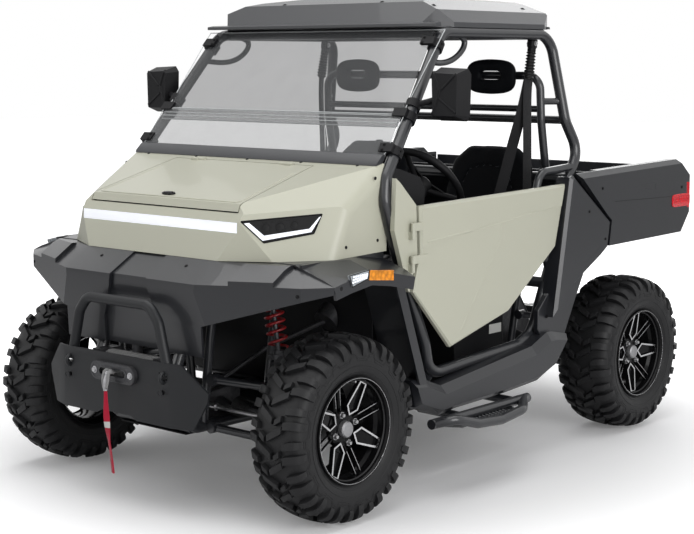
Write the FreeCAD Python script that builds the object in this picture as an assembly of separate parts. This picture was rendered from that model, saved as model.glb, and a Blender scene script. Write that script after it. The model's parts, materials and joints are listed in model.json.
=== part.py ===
import FreeCAD, Part
import math
import os

os.makedirs("parts", exist_ok=True)
V = FreeCAD.Vector

# Overall sizes in millimetres. X runs across with plus to the driver's side, Y runs back, Z up.
# The origin lies on the ground under the middle of the vehicle.
wheelbase = 1920.0
half_width = 803.0
roof_height = 1871.0

# Wheels
tyre_radius = 335.0
front_tyre_width = 228.0
rear_tyre_width = 260.0
rim_radius = 180.0
rim_lip_radius = 193.0
rim_lip_width = 8.0
rim_wall = 11.0
front_rim_width = 190.0
rear_rim_width = 216.0
hub_radius = 46.0
hub_setback = 34.0
spindle_radius = 14.0
spindle_length = 26.0
kingpin_inset = 89.0

# Tubes
cage_tube = 22.25
cage_bend = 90.0
rail_tube = 22.0
brace_tube = 17.0
small_tube = 14.0
frame_bend = 60.0
guard_tube = 19.0
guard_bend = 62.0
step_tube = 19.0
step_bend = 70.0

# Panels
shell_wall = 12.0
lid_gap = 5.0
cover_wall = 10.0
door_thickness = 25.0
door_face = 740.0
cowl_thickness = 20.0
cowl_face = 724.0
side_face = 760.0
side_wall = 25.0
roof_wall = 11.5
roof_drop = 17.25
screen_sheet = 5.0
plate_sheet = 6.0
floor_sheet = 5.0
toe_thickness = 6.0

# Clearances
seat_gap = 0.3
run_gap = 5.0
pin_gap = 0.6
overrun = 40.0

half_base = wheelbase / 2
front_wheel_x = half_width - front_tyre_width / 2
rear_wheel_x = half_width - rear_tyre_width / 2
kingpin_x = front_wheel_x - kingpin_inset


# Mapping of shares to sizes
def side_points(shares):
    return [(y * wheelbase, z * roof_height) for y, z in shares]


def plan_points(shares):
    return [(x * half_width, y * wheelbase) for x, y in shares]


def front_points(shares):
    return [(x * half_width, z * roof_height) for x, z in shares]


def places(shares):
    return [V(x * half_width, y * wheelbase, z * roof_height) for x, y, z in shares]


# Basic solids
def face_of(points):
    return Part.Face(Part.makePolygon(points + [points[0]]))


def offset_face(face, distance):
    return face.makeOffset2D(distance, 2) if distance else face


def prism_x(points, x_low, x_high, grow=0.0):
    face = offset_face(face_of([V(0, y, z) for y, z in points]), grow)
    face.translate(V(x_low, 0, 0))
    return face.extrude(V(x_high - x_low, 0, 0))


def prism_y(points, y_low, y_high, grow=0.0):
    face = offset_face(face_of([V(x, 0, z) for x, z in points]), grow)
    face.translate(V(0, y_low, 0))
    return face.extrude(V(0, y_high - y_low, 0))


def prism_z(points, z_low, z_high, grow=0.0):
    face = offset_face(face_of([V(x, y, 0) for x, y in points]), grow)
    face.translate(V(0, 0, z_low))
    return face.extrude(V(0, 0, z_high - z_low))


def box(x_low, x_high, y_low, y_high, z_low, z_high):
    return Part.makeBox(x_high - x_low, y_high - y_low, z_high - z_low, V(x_low, y_low, z_low))


def rod(start, end, radius):
    return Part.makeCylinder(radius, (end - start).Length, start, end - start)


def ring(start, end, outer, inner):
    return rod(start, end, outer).cut(rod(start, end, inner))


def both_sides(points):
    return points + [(-x, other) for x, other in reversed(points)]


def mirrored(shape):
    return shape.mirror(V(0, 0, 0), V(1, 0, 0))


def pair(shape):
    return both([shape])


def both(shapes):
    return shapes + [mirrored(shape) for shape in shapes]


def moved(shape, x, y, z):
    copy = shape.copy()
    copy.translate(V(x, y, z))
    return copy


def joined(shapes):
    whole = shapes[0].fuse(shapes[1:]) if len(shapes) > 1 else shapes[0]
    return whole.removeSplitter()


def write(node, shapes):
    solids = []
    for shape in shapes:
        solids += shape.Solids
    Part.makeCompound(solids).exportStep("parts/" + node + ".step")
    print(node, len(solids), round(sum(solid.Volume for solid in solids)))


# Tubes along rounded polylines
bend_room_share = 0.48


def rounded_path(points, bend):
    edges = []
    start = points[0]
    for before, corner, after in zip(points, points[1:], points[2:]):
        arriving = (corner - before).normalize()
        leaving = (after - corner).normalize()
        turn = arriving.getAngle(leaving)
        room = min((corner - before).Length, (after - corner).Length) * bend_room_share
        reach = min(bend * math.tan(turn / 2), room)
        first = corner - arriving * reach
        last = corner + leaving * reach
        middle_reach = reach / math.tan(turn / 2) * (1 / math.cos(turn / 2) - 1)
        middle = corner + (leaving - arriving).normalize() * middle_reach
        edges.append(Part.LineSegment(start, first).toShape())
        edges.append(Part.Arc(first, middle, last).toShape())
        start = last
    edges.append(Part.LineSegment(start, points[-1]).toShape())
    return Part.Wire(edges)


def tube(points, radius, bend):
    circle = Part.Wire(Part.makeCircle(radius, points[0], points[1] - points[0]))
    return rounded_path(points, bend).makePipeShell([circle], True, True)


def across(point):
    return [point, V(-point.x, point.y, point.z)]


# Half-spaces, for sloping facets
def beyond(points, shift=0.0, side_way=V(0, 0, 1)):
    normal = (points[1] - points[0]).cross(points[2] - points[0]).normalize()
    if normal.dot(side_way) < 0:
        normal = normal * -1
    side = 2 * wheelbase
    block = Part.makeBox(side, side, side, V(-side / 2, -side / 2, 0))
    block.Placement = FreeCAD.Placement(points[0] + normal * shift, FreeCAD.Rotation(V(0, 0, 1), normal))
    return block


# Side loop: from the front belt joint over the roof to the rear belt joint, and back along the sill
cage_loop_shares = [
    (0.8518, -0.3547, 0.5917), (0.8356, -0.3438, 0.636), (0.7397, -0.125, 0.9156),
    (0.7397, 0.2552, 0.9156), (0.8132, 0.274, 0.728), (0.8369, 0.3115, 0.659),
    (0.8518, 0.2604, 0.5943)]
sill_loop_shares = [
    (0.8493, -0.3187, 0.4912), (0.8369, -0.224, 0.2988), (0.8219, -0.201, 0.2293),
    (0.8219, 0.1005, 0.2475), (0.8219, 0.149, 0.2667), (0.8269, 0.162, 0.294),
    (0.8443, 0.2089, 0.4201)]
front_joint_share = 0.75
rear_joint_share = 0.8


def loop_joints():
    front_low, rear_low = places(sill_loop_shares)[0], places(sill_loop_shares)[-1]
    front_high, rear_high = places(cage_loop_shares)[0], places(cage_loop_shares)[-1]
    front = front_low + (front_high - front_low) * front_joint_share
    rear = rear_low + (rear_high - rear_low) * rear_joint_share
    return front, rear


def cage_loop(grow=0.0):
    front, rear = loop_joints()
    return tube([front] + places(cage_loop_shares) + [rear], cage_tube + grow, cage_bend)


def sill_loop(grow=0.0):
    front, rear = loop_joints()
    return tube([front] + places(sill_loop_shares) + [rear], cage_tube + grow, cage_bend)


left_seats = [cage_loop(seat_gap), sill_loop(seat_gap)]
loop_seats = left_seats + [mirrored(seat) for seat in left_seats]

# Roll cage above the belt line
front_header_shares = [(0.7397, -0.0964, 0.9156)]
rear_header_shares = [(0.7397, 0.2109, 0.9156)]
harness_bar_shares = [(0.8132, 0.274, 0.728)]
belt_bar_shares = [(0.8518, 0.262, 0.5997)]
seat_hoop_shares = [
    (0.7347, 0.262, 0.5997), (0.7347, 0.2495, 0.6285), (0.7347, 0.2313, 0.729),
    (0.7298, 0.2271, 0.8258)]
hoop_link_shares = [(0.7347, 0.2297, 0.7696), (0.797, 0.2698, 0.7696)]
hip_loop_shares = [
    (0.8481, 0.2812, 0.6243), (0.8481, 0.1578, 0.6179), (0.8481, 0.1432, 0.5665),
    (0.8418, 0.2005, 0.4062)]


def cage():
    parts = [cage_loop()]
    link = places(hoop_link_shares)
    parts.append(rod(link[0], link[1], small_tube))
    parts += [mirrored(part) for part in parts]
    for shares in (front_header_shares, rear_header_shares, harness_bar_shares, belt_bar_shares):
        start, end = across(places(shares)[0])
        parts.append(rod(start, end, cage_tube if shares is not harness_bar_shares else brace_tube))
    hoop = places(seat_hoop_shares)
    hoop += [V(-point.x, point.y, point.z) for point in reversed(hoop)]
    parts.append(tube(hoop, brace_tube, frame_bend))
    start, end = across(hoop[2] + V(0, 0, 2 * cage_tube))
    parts.append(rod(start, end, small_tube))
    hip = tube(places(hip_loop_shares), brace_tube, frame_bend)
    hip = hip.cut([left_seats[1]])
    hip = max(hip.Solids, key=lambda solid: solid.Volume)
    parts += pair(hip)
    return [joined(parts)]


# Chassis frame below the belt line
lower_rail_shares = [
    (0.2491, -0.6729, 0.2512), (0.2491, -0.6146, 0.1561), (0.2491, 0.5885, 0.1561),
    (0.2491, 0.6615, 0.2202)]
upper_rail_shares = [
    (0.2491, -0.6687, 0.2469), (0.264, -0.6365, 0.3314), (0.3362, -0.599, 0.4276),
    (0.3362, -0.375, 0.4543), (0.3362, -0.3375, 0.4543)]
rear_rail_shares = [
    (0.3362, 0.2354, 0.3741), (0.3362, 0.3229, 0.4062), (0.3362, 0.625, 0.4062)]
perimeter_shares = [(0.7098, -0.2083, 0.1593), (0.7098, 0.1484, 0.1593)]
front_stand_shares = [(0.2491, -0.5859, 0.1561), (0.33, -0.5859, 0.4276)]
cowl_stand_shares = [(0.2491, -0.4141, 0.1561), (0.3337, -0.4141, 0.45)]
rear_stand_shares = [(0.2491, 0.5859, 0.1561), (0.3337, 0.5859, 0.4051)]
middle_stand_shares = [(0.2491, 0.4141, 0.1561), (0.3337, 0.4141, 0.4051)]
lower_cross_shares = [
    (0.2491, -0.6146, 0.1561), (0.2491, -0.3854, 0.1561), (0.7098, -0.2083, 0.1593),
    (0.7098, 0.1484, 0.1593), (0.2491, 0.5885, 0.1561)]
cowl_cross_shares = [(0.8481, -0.3312, 0.4543)]
seat_cross_shares = [(0.8394, 0.1906, 0.3741)]
rear_cross_shares = [(0.3362, 0.599, 0.4062), (0.3362, 0.3672, 0.4062)]
front_cross_shares = [(0.3362, -0.599, 0.4276)]
sill_brace_shares = [
    (0.7098, -0.2083, 0.1593), (0.8219, -0.201, 0.2293), (0.7098, 0.1484, 0.1593),
    (0.8219, 0.1406, 0.2565)]
pivot_shares = [(0.3611, 0.625, 0.4158)]
rest_pad_shares = [(0.2839, 0.3672, 0.4062)]
pivot_radius = 14.0
bed_ear_drop = 22.4
pivot_ear = 12.0
pad_radius = 13.0
bed_rail_low_share = 0.4233
hitch_shares = [(0.0399, 0.6406, 0.2138), (0.0399, 0.7146, 0.2138)]
hitch_bore = 51.0
hitch_wall = 6.5
hitch_pin_radius = 8.0
hitch_pin_setback = 44.0


def hitch():
    front, back = places(hitch_shares)
    half = hitch_bore / 2 + hitch_wall
    socket = box(-half, half, front.y, back.y, front.z - half, front.z + half)
    hollow = hitch_bore / 2
    socket = socket.cut(box(-hollow, hollow, front.y + hitch_wall, back.y + overrun, front.z - hollow,
                            front.z + hollow))
    pin_y = back.y - hitch_pin_setback
    return socket.cut(rod(V(-half - overrun, pin_y, front.z), V(half + overrun, pin_y, front.z),
                          hitch_pin_radius))


def frame():
    parts = [sill_loop()]
    for shares in (lower_rail_shares, upper_rail_shares, rear_rail_shares):
        parts.append(tube(places(shares), rail_tube, frame_bend))
    for shares in (perimeter_shares, front_stand_shares, cowl_stand_shares, rear_stand_shares,
                   middle_stand_shares):
        start, end = places(shares)
        parts.append(rod(start, end, brace_tube))
    brace = places(sill_brace_shares)
    parts.append(rod(brace[0], brace[1], brace_tube))
    parts.append(rod(brace[2], brace[3], brace_tube))
    pivot = places(pivot_shares)[0]
    rail_end = places(rear_rail_shares)[-1]
    ear_low = rail_end.z
    parts.append(box(rail_end.x - pivot_ear / 2, rail_end.x + pivot_ear / 2, pivot.y - rail_tube,
                     pivot.y + rail_tube, ear_low, pivot.z + rail_tube))
    pad = places(rest_pad_shares)[0]
    pad_top = bed_rail_low_share * roof_height - seat_gap
    parts.append(rod(pad, V(pad.x, pad.y, pad_top), pad_radius))
    parts += [mirrored(part) for part in parts]
    crosses = places(lower_cross_shares + rear_cross_shares + front_cross_shares)
    for point in crosses:
        start, end = across(point)
        parts.append(rod(start, end, brace_tube))
    for shares in (cowl_cross_shares, seat_cross_shares):
        start, end = across(places(shares)[0])
        parts.append(rod(start, end, rail_tube))
    start, end = across(pivot)
    parts.append(rod(start, end, pivot_radius))
    start, end = across(places(lower_rail_shares)[-1])
    parts.append(rod(start, end, rail_tube))
    front, back = places(hitch_shares)
    whole = joined(parts)
    half = hitch_bore / 2 + hitch_wall
    whole = whole.cut(box(-half, half, front.y + hitch_wall, back.y, front.z - half, front.z + half))
    return joined([whole, hitch()])


def frame_part(whole, start, end):
    return [whole.common(box(-half_width, half_width, start, end, 0, roof_height))]


# Nose body: one faceted form, hollowed and split into shell, lid, headlamps and light bar
nose_side_shares = [
    (-0.6188, 0.4885), (-0.6021, 0.5414), (-0.601, 0.5612), (-0.588, 0.5794), (-0.5818, 0.5938),
    (-0.3385, 0.6633), (-0.3385, 0.4949)]
nose_plan_shares = [(0.4284, -0.6193), (0.8406, -0.5333), (0.8319, -0.3375)]
nose_corner_shares = [
    (0.5181, -0.6016, 0.5612), (0.797, -0.4625, 0.5885), (0.7721, -0.4802, 0.5746)]
nose_shoulder_shares = [
    (0.4882, -0.5818, 0.5922), (0.8219, -0.3385, 0.6644), (0.797, -0.4625, 0.5885)]
lid_shares = [(0.4882, -0.5938), (0.457, -0.3729)]
lid_low_share = 0.5794
lens_shares = [
    (0.533, -0.599, 0.5644), (0.7597, -0.4854, 0.5751), (0.7621, -0.5083, 0.542),
    (0.6227, -0.5781, 0.5259)]
bar_shares = [(0.5131, 0.5414), (0.5131, 0.5607)]
trunk_shares = [(0.4633, -0.5708), (0.4384, -0.3677)]
trunk_low_share = 0.4971
lid_pin_radius = 5.0
lid_barrel_radius = 8.0
lid_barrel_length = 34.0
lid_barrel_share = 0.2927
side_normal_share = 0.95
nose_round = 60.0


def nose_form(inset=0.0):
    side = prism_x(side_points(nose_side_shares), -half_width, half_width, -inset)
    plan = prism_z(both_sides(plan_points(nose_plan_shares)), 0, roof_height, -inset)
    cuts = [beyond(places(shares), -inset) for shares in (nose_corner_shares, nose_shoulder_shares)]
    return side.common(plan).cut(both(cuts))


def rounded_nose(inset=0.0):
    form = nose_form(inset)
    sides = [face for face in form.Faces if abs(face.normalAt(0, 0).x) > side_normal_share]
    edges = []
    for face in sides:
        for edge in face.Edges:
            middle = edge.CenterOfMass
            low = middle.z < nose_bottom(middle.y) + 2 * inset + overrun
            back = middle.y > nose_side_shares[-1][0] * wheelbase - inset - 1
            if not low and not back:
                edges.append(edge)
    return form.makeFillet(nose_round - inset, edges)


def nose_shell():
    inner = rounded_nose(shell_wall)
    drop = 2 * shell_wall
    back = moved(inner, 0, drop, 0)
    return rounded_nose().cut([inner, moved(inner, 0, 0, -drop), back, moved(back, 0, 0, -drop)])


def lens_prism(grow=0.0):
    plane = places(nose_corner_shares)
    normal = (plane[1] - plane[0]).cross(plane[2] - plane[0]).normalize()
    corners = []
    for point in places(lens_shares):
        corners.append(point - normal * (point - plane[0]).dot(normal))
    face = offset_face(face_of(corners), grow)
    face.translate(normal * -overrun)
    return face.extrude(normal * (2 * overrun))


def bar_box(grow=0.0):
    (reach, low), (reach, high) = front_points(bar_shares)
    front = nose_plan_shares[0][1] * wheelbase
    return box(-reach - grow, reach + grow, front - overrun, front + 2 * overrun, low - grow, high + grow)


def lid_prism(grow=0.0):
    low = lid_low_share * roof_height - grow
    return prism_z(both_sides(plan_points(lid_shares)), low, roof_height, grow)


def lid_hinge_point():
    rear = lid_shares[-1][1] * wheelbase
    top = side_points(nose_side_shares)
    (front_y, front_z), (rear_y, rear_z) = top[4], top[5]
    slope = (rear_z - front_z) / (rear_y - front_y)
    return V(lid_barrel_share * half_width, rear + lid_gap / 2, front_z + (rear - front_y) * slope)


def lid_barrel(offset_lengths, inner=0.0):
    pin = lid_hinge_point() + V(lid_barrel_length * offset_lengths, 0, 0)
    barrel = rod(pin, pin + V(lid_barrel_length - pin_gap, 0, 0), lid_barrel_radius)
    return barrel.cut(rod(pin, pin + V(lid_barrel_length, 0, 0), inner)) if inner else barrel


def lid_hinge_room():
    hinge = lid_hinge_point()
    reach = V(lid_barrel_length + pin_gap, 0, 0)
    return pair(rod(hinge - reach, hinge + reach, lid_barrel_radius + pin_gap))


def front_body():
    shell = nose_shell().cut(lid_hinge_room())
    shell = shell.cut([lid_prism(lid_gap), bar_box(seat_gap)] + pair(lens_prism(seat_gap)))
    shell = shell.cut(loop_seats)
    hinge = lid_hinge_point()
    pin = rod(hinge + V(-lid_barrel_length, 0, 0), hinge + V(lid_barrel_length, 0, 0), lid_pin_radius)
    fixed = lid_barrel(-1)
    foot = box(hinge.x - lid_barrel_length, hinge.x - pin_gap, hinge.y, hinge.y + 2 * lid_barrel_radius,
               hinge.z - lid_barrel_radius, hinge.z + lid_barrel_radius / 2)
    hinges = pair(joined([fixed, foot, pin]))
    return [largest(joined([shell] + hinges))]


def largest(shape):
    return max(shape.Solids, key=lambda solid: solid.Volume)


def hood_lid():
    lid = nose_shell().common(lid_prism()).cut(lid_hinge_room())
    knuckle = lid_barrel(0)
    hinge = lid_hinge_point()
    foot = box(hinge.x, hinge.x + lid_barrel_length - pin_gap, hinge.y - 2 * lid_barrel_radius, hinge.y,
               hinge.z - lid_barrel_radius, hinge.z + lid_barrel_radius / 2)
    bore = rod(hinge, hinge + V(lid_barrel_length, 0, 0), lid_pin_radius + seat_gap)
    knuckle = joined([knuckle, foot]).cut(bore)
    return [joined([lid] + pair(knuckle))]


def front_lamps():
    shell = nose_shell()
    lenses = pair(shell.common(lens_prism()))
    return lenses + [shell.common(bar_box())] + marker_lamps()


def front_trunk():
    outline = both_sides(plan_points(trunk_shares))
    low = trunk_low_share * roof_height
    outer = prism_z(outline, low, roof_height).common(nose_form(shell_wall + seat_gap))
    inner = prism_z(outline, low + plate_sheet, roof_height, -4 * plate_sheet)
    return [outer.cut(inner)]


# Charcoal cladding under the nose, with the front fenders
clad_side_shares = [
    (-0.6771, 0.4356), (-0.6766, 0.45), (-0.6198, 0.488), (-0.5687, 0.4882), (-0.5687, 0.3127),
    (-0.6661, 0.3127), (-0.6693, 0.3741)]
clad_plan_shares = [
    (0.4247, -0.6776), (0.6924, -0.6359), (0.8979, -0.6052), (1.0075, -0.5687)]
clad_top_shares = [
    (0.4247, -0.6776, 0.45), (0.8979, -0.6052, 0.4538), (0.4284, -0.6193, 0.488)]
clad_corner_shares = [
    (0.8979, -0.6052, 0.4538), (1.0075, -0.5687, 0.4559), (0.8406, -0.5333, 0.4901)]
clad_pad_shares = (0.5803, 0.7771)
clad_pad_rise = 16.0
skirt_shares = [
    (0.4508, 0.2993), (0.4508, 0.3709), (0.9054, 0.4292), (1.0336, 0.4458), (1.0336, 0.2993)]
recess_shares = [
    (0.1046, 0.4971), (0.1295, 0.4276), (0.1868, 0.3634), (0.1868, 0.2993)]
recess_end_share = -0.599
recess_depth = 13.0
fender_line_shares = [
    (-0.5687, 0.4559), (-0.5271, 0.465), (-0.4667, 0.4741), (-0.4078, 0.4655), (-0.3432, 0.4516),
    (-0.2552, 0.2026), (-0.2214, 0.1817)]
fender_inner_share = 0.6974
fender_outer_share = 1.0075
fender_band_share = 0.9315
fender_roof_share = 0.6675
fender_roof_low_share = 0.4169
fender_lip = 46.0
arch_band = 40.0


def cladding_form(inset=0.0):
    side = prism_x(side_points(clad_side_shares), -wheelbase, wheelbase, -inset)
    base = side.common(prism_z(both_sides(plan_points(clad_plan_shares)), 0, roof_height, -inset))
    slopes = [beyond(places(shares), -inset) for shares in (clad_top_shares, clad_corner_shares)]
    raised = [moved(slope, 0, 0, clad_pad_rise) for slope in slopes]
    low, high = (share * half_width for share in clad_pad_shares)
    pads = pair(base.common(box(low + inset, high - inset, -wheelbase, 0, 0, roof_height)))
    whole = joined([base.cut(both(slopes))] + [pad.cut(both(raised)) for pad in pads])
    outline = both_sides(front_points(recess_shares))
    recess = prism_y(outline, -wheelbase, recess_end_share * wheelbase, inset)
    return whole.cut(recess.cut(moved(whole, 0, recess_depth, 0)))


def nose_cladding():
    inner = cladding_form(cover_wall)
    drop = 2 * cover_wall
    shell = cladding_form().cut([inner, moved(inner, 0, drop, 0), moved(inner, 0, 0, -drop),
                                 moved(inner, 0, drop, -drop)])
    skirt = prism_y(front_points(skirt_shares), -wheelbase, 0)
    return largest(shell.cut(pair(skirt) + [nose_form(-seat_gap)]))


def ribbon(points, thickness, x_low, x_high):
    return prism_x(points + beside(points, thickness)[::-1], x_low, x_high)


def beside(points, distance):
    shifted = []
    for index, (y, z) in enumerate(points):
        ahead = points[min(index + 1, len(points) - 1)]
        behind = points[max(index - 1, 0)]
        first = unit(y - behind[0], z - behind[1]) if index else unit(ahead[0] - y, ahead[1] - z)
        last = unit(ahead[0] - y, ahead[1] - z) if index < len(points) - 1 else first
        normal = (first[1] + last[1], -first[0] - last[0])
        scale = distance * 2 / (normal[0] ** 2 + normal[1] ** 2)
        shifted.append((y + normal[0] * scale, z + normal[1] * scale))
    return shifted


def unit(y, z):
    length = math.hypot(y, z)
    return y / length, z / length


def front_fender():
    line = side_points(fender_line_shares)
    top = line[:5]
    inner = fender_inner_share * half_width + seat_gap
    outer = fender_outer_share * half_width
    band = fender_band_share * half_width
    deck = ribbon(line, cover_wall, inner, band)
    lip = ribbon(top, fender_lip, outer - cover_wall, outer)
    rear_lip = ribbon(line[3:], arch_band, band - cover_wall, band)
    return joined([deck, fender_roof(), lip, rear_lip])


def fender_roof():
    line = side_points(fender_line_shares)[:5]
    outer = fender_outer_share * half_width
    nose_x = nose_plan_shares[1][0] * half_width
    low = fender_roof_low_share * roof_height
    top = [(y, nose_bottom(y) - seat_gap) for y, z in line]
    outline = top + [(line[-1][0], low), (line[0][0], low)]
    form = prism_x(outline, fender_roof_share * half_width, outer)
    for (y, z), (next_y, next_z) in zip(line, line[1:]):
        middle = (y + next_y) / 2
        plane = [V(outer, y, z), V(outer, next_y, next_z), V(nose_x, middle, nose_bottom(middle))]
        form = form.cut(beyond(plane))
    return form.cut(moved(form, 0, 0, -cover_wall))


marker_clear_shares = [
    (-0.5302, 0.4735), (-0.4766, 0.4789), (-0.4802, 0.4629), (-0.5224, 0.4522)]
marker_amber_shares = [
    (-0.4729, 0.4773), (-0.4094, 0.4709), (-0.4094, 0.4532), (-0.4766, 0.4607)]
marker_depth = 6.0


def marker_lamps(grow=0.0):
    face = fender_outer_share * half_width
    lamps = []
    for shares in (marker_clear_shares, marker_amber_shares):
        lamps.append(prism_x(side_points(shares), face - marker_depth, face + marker_depth / 2 + grow, grow))
    return lamps + [mirrored(lamp) for lamp in lamps]


upstand_setback = 6.0


def upstand():
    line = side_points(fender_line_shares)[:5]
    top = [(y, nose_bottom(y) - seat_gap) for y, z in reversed(line)]
    foot = [(y, z - cover_wall / 2) for y, z in line]
    wall = nose_plan_shares[-1][0] * half_width
    start = wall - upstand_setback
    return prism_x(foot + top, start - shell_wall, start)


def nose_bottom(y):
    points = side_points(nose_side_shares)
    (front_y, front_z), (rear_y, rear_z) = points[0], points[-1]
    return front_z + (y - front_y) * (rear_z - front_z) / (rear_y - front_y)


def front_cladding():
    fender = joined([front_fender(), upstand()])
    fender = fender.cut(marker_lamps(seat_gap) + left_seats + [nose_form(-seat_gap)])
    return [nose_cladding()] + pair(largest(fender))


# Beige cowl panel beside the screen foot, with the door's fixed hinge halves
cowl_shares = [
    (-0.3453, 0.6366), (-0.3333, 0.6275), (-0.2854, 0.5815), (-0.2812, 0.4864), (-0.3047, 0.4126),
    (-0.3083, 0.4158), (-0.3505, 0.5366)]
hinge_y_share = -0.3063
hinge_x = 742.0
hinge_height_shares = [0.468, 0.532]
hinge_barrel_radius = 7.5
hinge_barrel_length = 30.0
hinge_pin_radius = 4.5
hinge_leaf = 8.0
hinge_leaf_length = 96.0


def hinge_points():
    return [V(hinge_x, hinge_y_share * wheelbase, share * roof_height) for share in hinge_height_shares]


def cowl_panel():
    panel = prism_x(side_points(cowl_shares), cowl_face - cowl_thickness, cowl_face)
    parts = [panel.cut(left_seats)]
    for point in hinge_points():
        low = point - V(0, 0, hinge_barrel_length)
        parts.append(rod(low, point - V(0, 0, pin_gap), hinge_barrel_radius))
        parts.append(rod(low, point + V(0, 0, hinge_barrel_length), hinge_pin_radius))
        parts.append(box(cowl_face - hinge_leaf, point.x, point.y - hinge_leaf / 2, point.y + hinge_leaf / 2,
                         low.z, point.z - pin_gap))
    return largest(joined(parts))


# Doors
door_shares = [
    (-0.2818, 0.5794), (0.2156, 0.5917), (0.1823, 0.458), (0.0141, 0.3373), (-0.1818, 0.2875),
    (-0.2984, 0.4126), (-0.2771, 0.4874)]
door_bevel = 10.0
door_band_shares = [
    (-0.3646, 0.4821), (0.013, 0.5387), (0.2604, 0.5468), (0.2604, 0.2138), (-0.3646, 0.2138)]
door_front_facet_shares = [
    (0.9215, 0.013, 0.5387), (0.9191, -0.1422, 0.3426), (0.9141, -0.2745, 0.4955)]
door_rear_facet_shares = [
    (0.9215, 0.013, 0.5387), (0.9191, -0.1422, 0.3426), (0.9141, 0.2135, 0.5452)]


def door():
    outline = side_points(door_shares)
    inner = door_face - door_thickness
    middle = door_face - door_bevel
    panel = joined([prism_x(outline, inner, middle), bevelled(outline, middle, door_face)])
    band = prism_x(side_points(door_band_shares), inner, door_face)
    planes = (door_front_facet_shares, door_rear_facet_shares)
    facets = [beyond(places(shares), 0, V(1, 0, 0)) for shares in planes]
    parts = [panel.cut([band.common(facet) for facet in facets])]
    for point in hinge_points():
        top = point + V(0, 0, hinge_barrel_length)
        barrel = rod(point, top, hinge_barrel_radius)
        leaf_x = cowl_face + run_gap + pin_gap
        leaf = box(leaf_x, point.x - hinge_leaf / 2, point.y, point.y + hinge_leaf_length, point.z, top.z)
        parts += [barrel, leaf]
    whole = joined(parts)
    bores = [rod(point, point + V(0, 0, 2 * hinge_barrel_length), hinge_pin_radius + seat_gap)
             for point in hinge_points()]
    return whole.cut(bores)


def loft_x(low, start, high, end):
    wires = []
    for x, line in ((start, low), (end, high)):
        wires.append(Part.makePolygon([V(x, y, z) for y, z in line + line[:1]]))
    return Part.makeLoft(wires, True, True)


def bevelled(outline, start, end):
    depth = end - start
    wire = Part.makePolygon([V(start, y, z) for y, z in outline + outline[:1]])
    small = offset_face(face_of([V(start, y, z) for y, z in outline]), -depth)
    small.translate(V(depth, 0, 0))
    return Part.makeLoft([wire, small.OuterWire], True, True)


# Charcoal quarter panels and rockers
quarter_shares = [
    (0.2203, 0.6061), (0.2323, 0.6093), (0.3823, 0.4987), (0.3724, 0.4377), (0.351, 0.4244),
    (0.2406, 0.3683), (0.1656, 0.3041)]
quarter_return = 34.0
quarter_bevel = 12.0
rocker_shares = [
    (-0.3042, 0.2378), (-0.2672, 0.2362), (-0.2115, 0.2138), (0.1005, 0.2491), (0.1562, 0.272),
    (0.1719, 0.272), (0.2318, 0.2592), (0.1828, 0.194), (0.1224, 0.1705), (0.0052, 0.163),
    (-0.1646, 0.1593), (-0.2208, 0.1539), (-0.2901, 0.1823)]
rocker_crease_shares = [
    (-0.2979, 0.2245), (-0.2651, 0.2213), (-0.2062, 0.1967), (0.1021, 0.2309), (0.1562, 0.2533),
    (0.175, 0.2533), (0.2177, 0.248), (0.176, 0.202), (0.1187, 0.1828), (0.0031, 0.1742),
    (-0.1635, 0.17), (-0.2188, 0.1657), (-0.2839, 0.1903)]
rocker_face = 756.0
rocker_inner = 671.0
rocker_rim = 14.0


def quarter_panel():
    outline = side_points(quarter_shares)
    middle = side_face - quarter_bevel
    plate = joined([prism_x(outline, side_face - side_wall, middle), bevelled(outline, middle, side_face)])
    (top_y, top_z), (low_y, low_z) = outline[0], outline[-1]
    line = [(top_y, top_z), (top_y + quarter_return, top_z)]
    line += [(low_y + quarter_return, low_z + quarter_return), (low_y, low_z)]
    strip = prism_x(line, belt_x(), side_face - side_wall)
    return largest(joined([plate, strip]).cut(left_seats + [hip_seat]))


def belt_x():
    return cage_loop_shares[0][0] * half_width


hip_seat = tube(places(hip_loop_shares), brace_tube + seat_gap, frame_bend)


def rocker():
    inner_plate = prism_x(side_points(rocker_shares), rocker_inner, rocker_face - side_wall)
    crease = side_points(rocker_crease_shares)
    outer_plate = loft_x(side_points(rocker_shares), rocker_face - side_wall, crease, rocker_face)
    whole = joined([inner_plate, outer_plate])
    hollow = prism_x(side_points(rocker_shares), 0, rocker_face - side_wall, -rocker_rim)
    return largest(whole.cut([hollow, front_fender()] + left_seats))


def side_cladding():
    return pair(quarter_panel()) + pair(rocker())


# Roof panel on the rails
roof_side_shares = [
    (-0.1417, 0.9262), (-0.1396, 0.9364), (-0.1068, 0.9792), (-0.0312, 0.9952), (0.0885, 1),
    (0.2083, 0.9952), (0.2521, 0.9824), (0.2635, 0.9503), (0.2635, 0.9262)]
roof_front_shares = [
    (0.7584, 0.9262), (0.7584, 0.9364), (0.7049, 0.9621), (0.5479, 0.9866), (0.1868, 1)]
roof_plan_shares = [
    (0.6476, -0.1417), (0.7584, -0.0938), (0.7584, 0.224), (0.7098, 0.2635)]


def roof_form(inset=0.0):
    side = prism_x(side_points(roof_side_shares), -half_width, half_width, -inset)
    front = prism_y(both_sides(front_points(roof_front_shares)), -wheelbase, wheelbase, -inset)
    plan = prism_z(both_sides(plan_points(roof_plan_shares)), 0, 2 * roof_height, -inset)
    return side.common(front).common(plan)


def roof():
    inner = roof_form(roof_wall)
    shell = roof_form().cut([inner, moved(inner, 0, 0, -roof_drop)])
    headers = [across(places(shares)[0]) for shares in (front_header_shares, rear_header_shares)]
    header_seats = [rod(start, end, cage_tube + seat_gap) for start, end in headers]
    return [largest(shell.cut(loop_seats + header_seats))]


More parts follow.
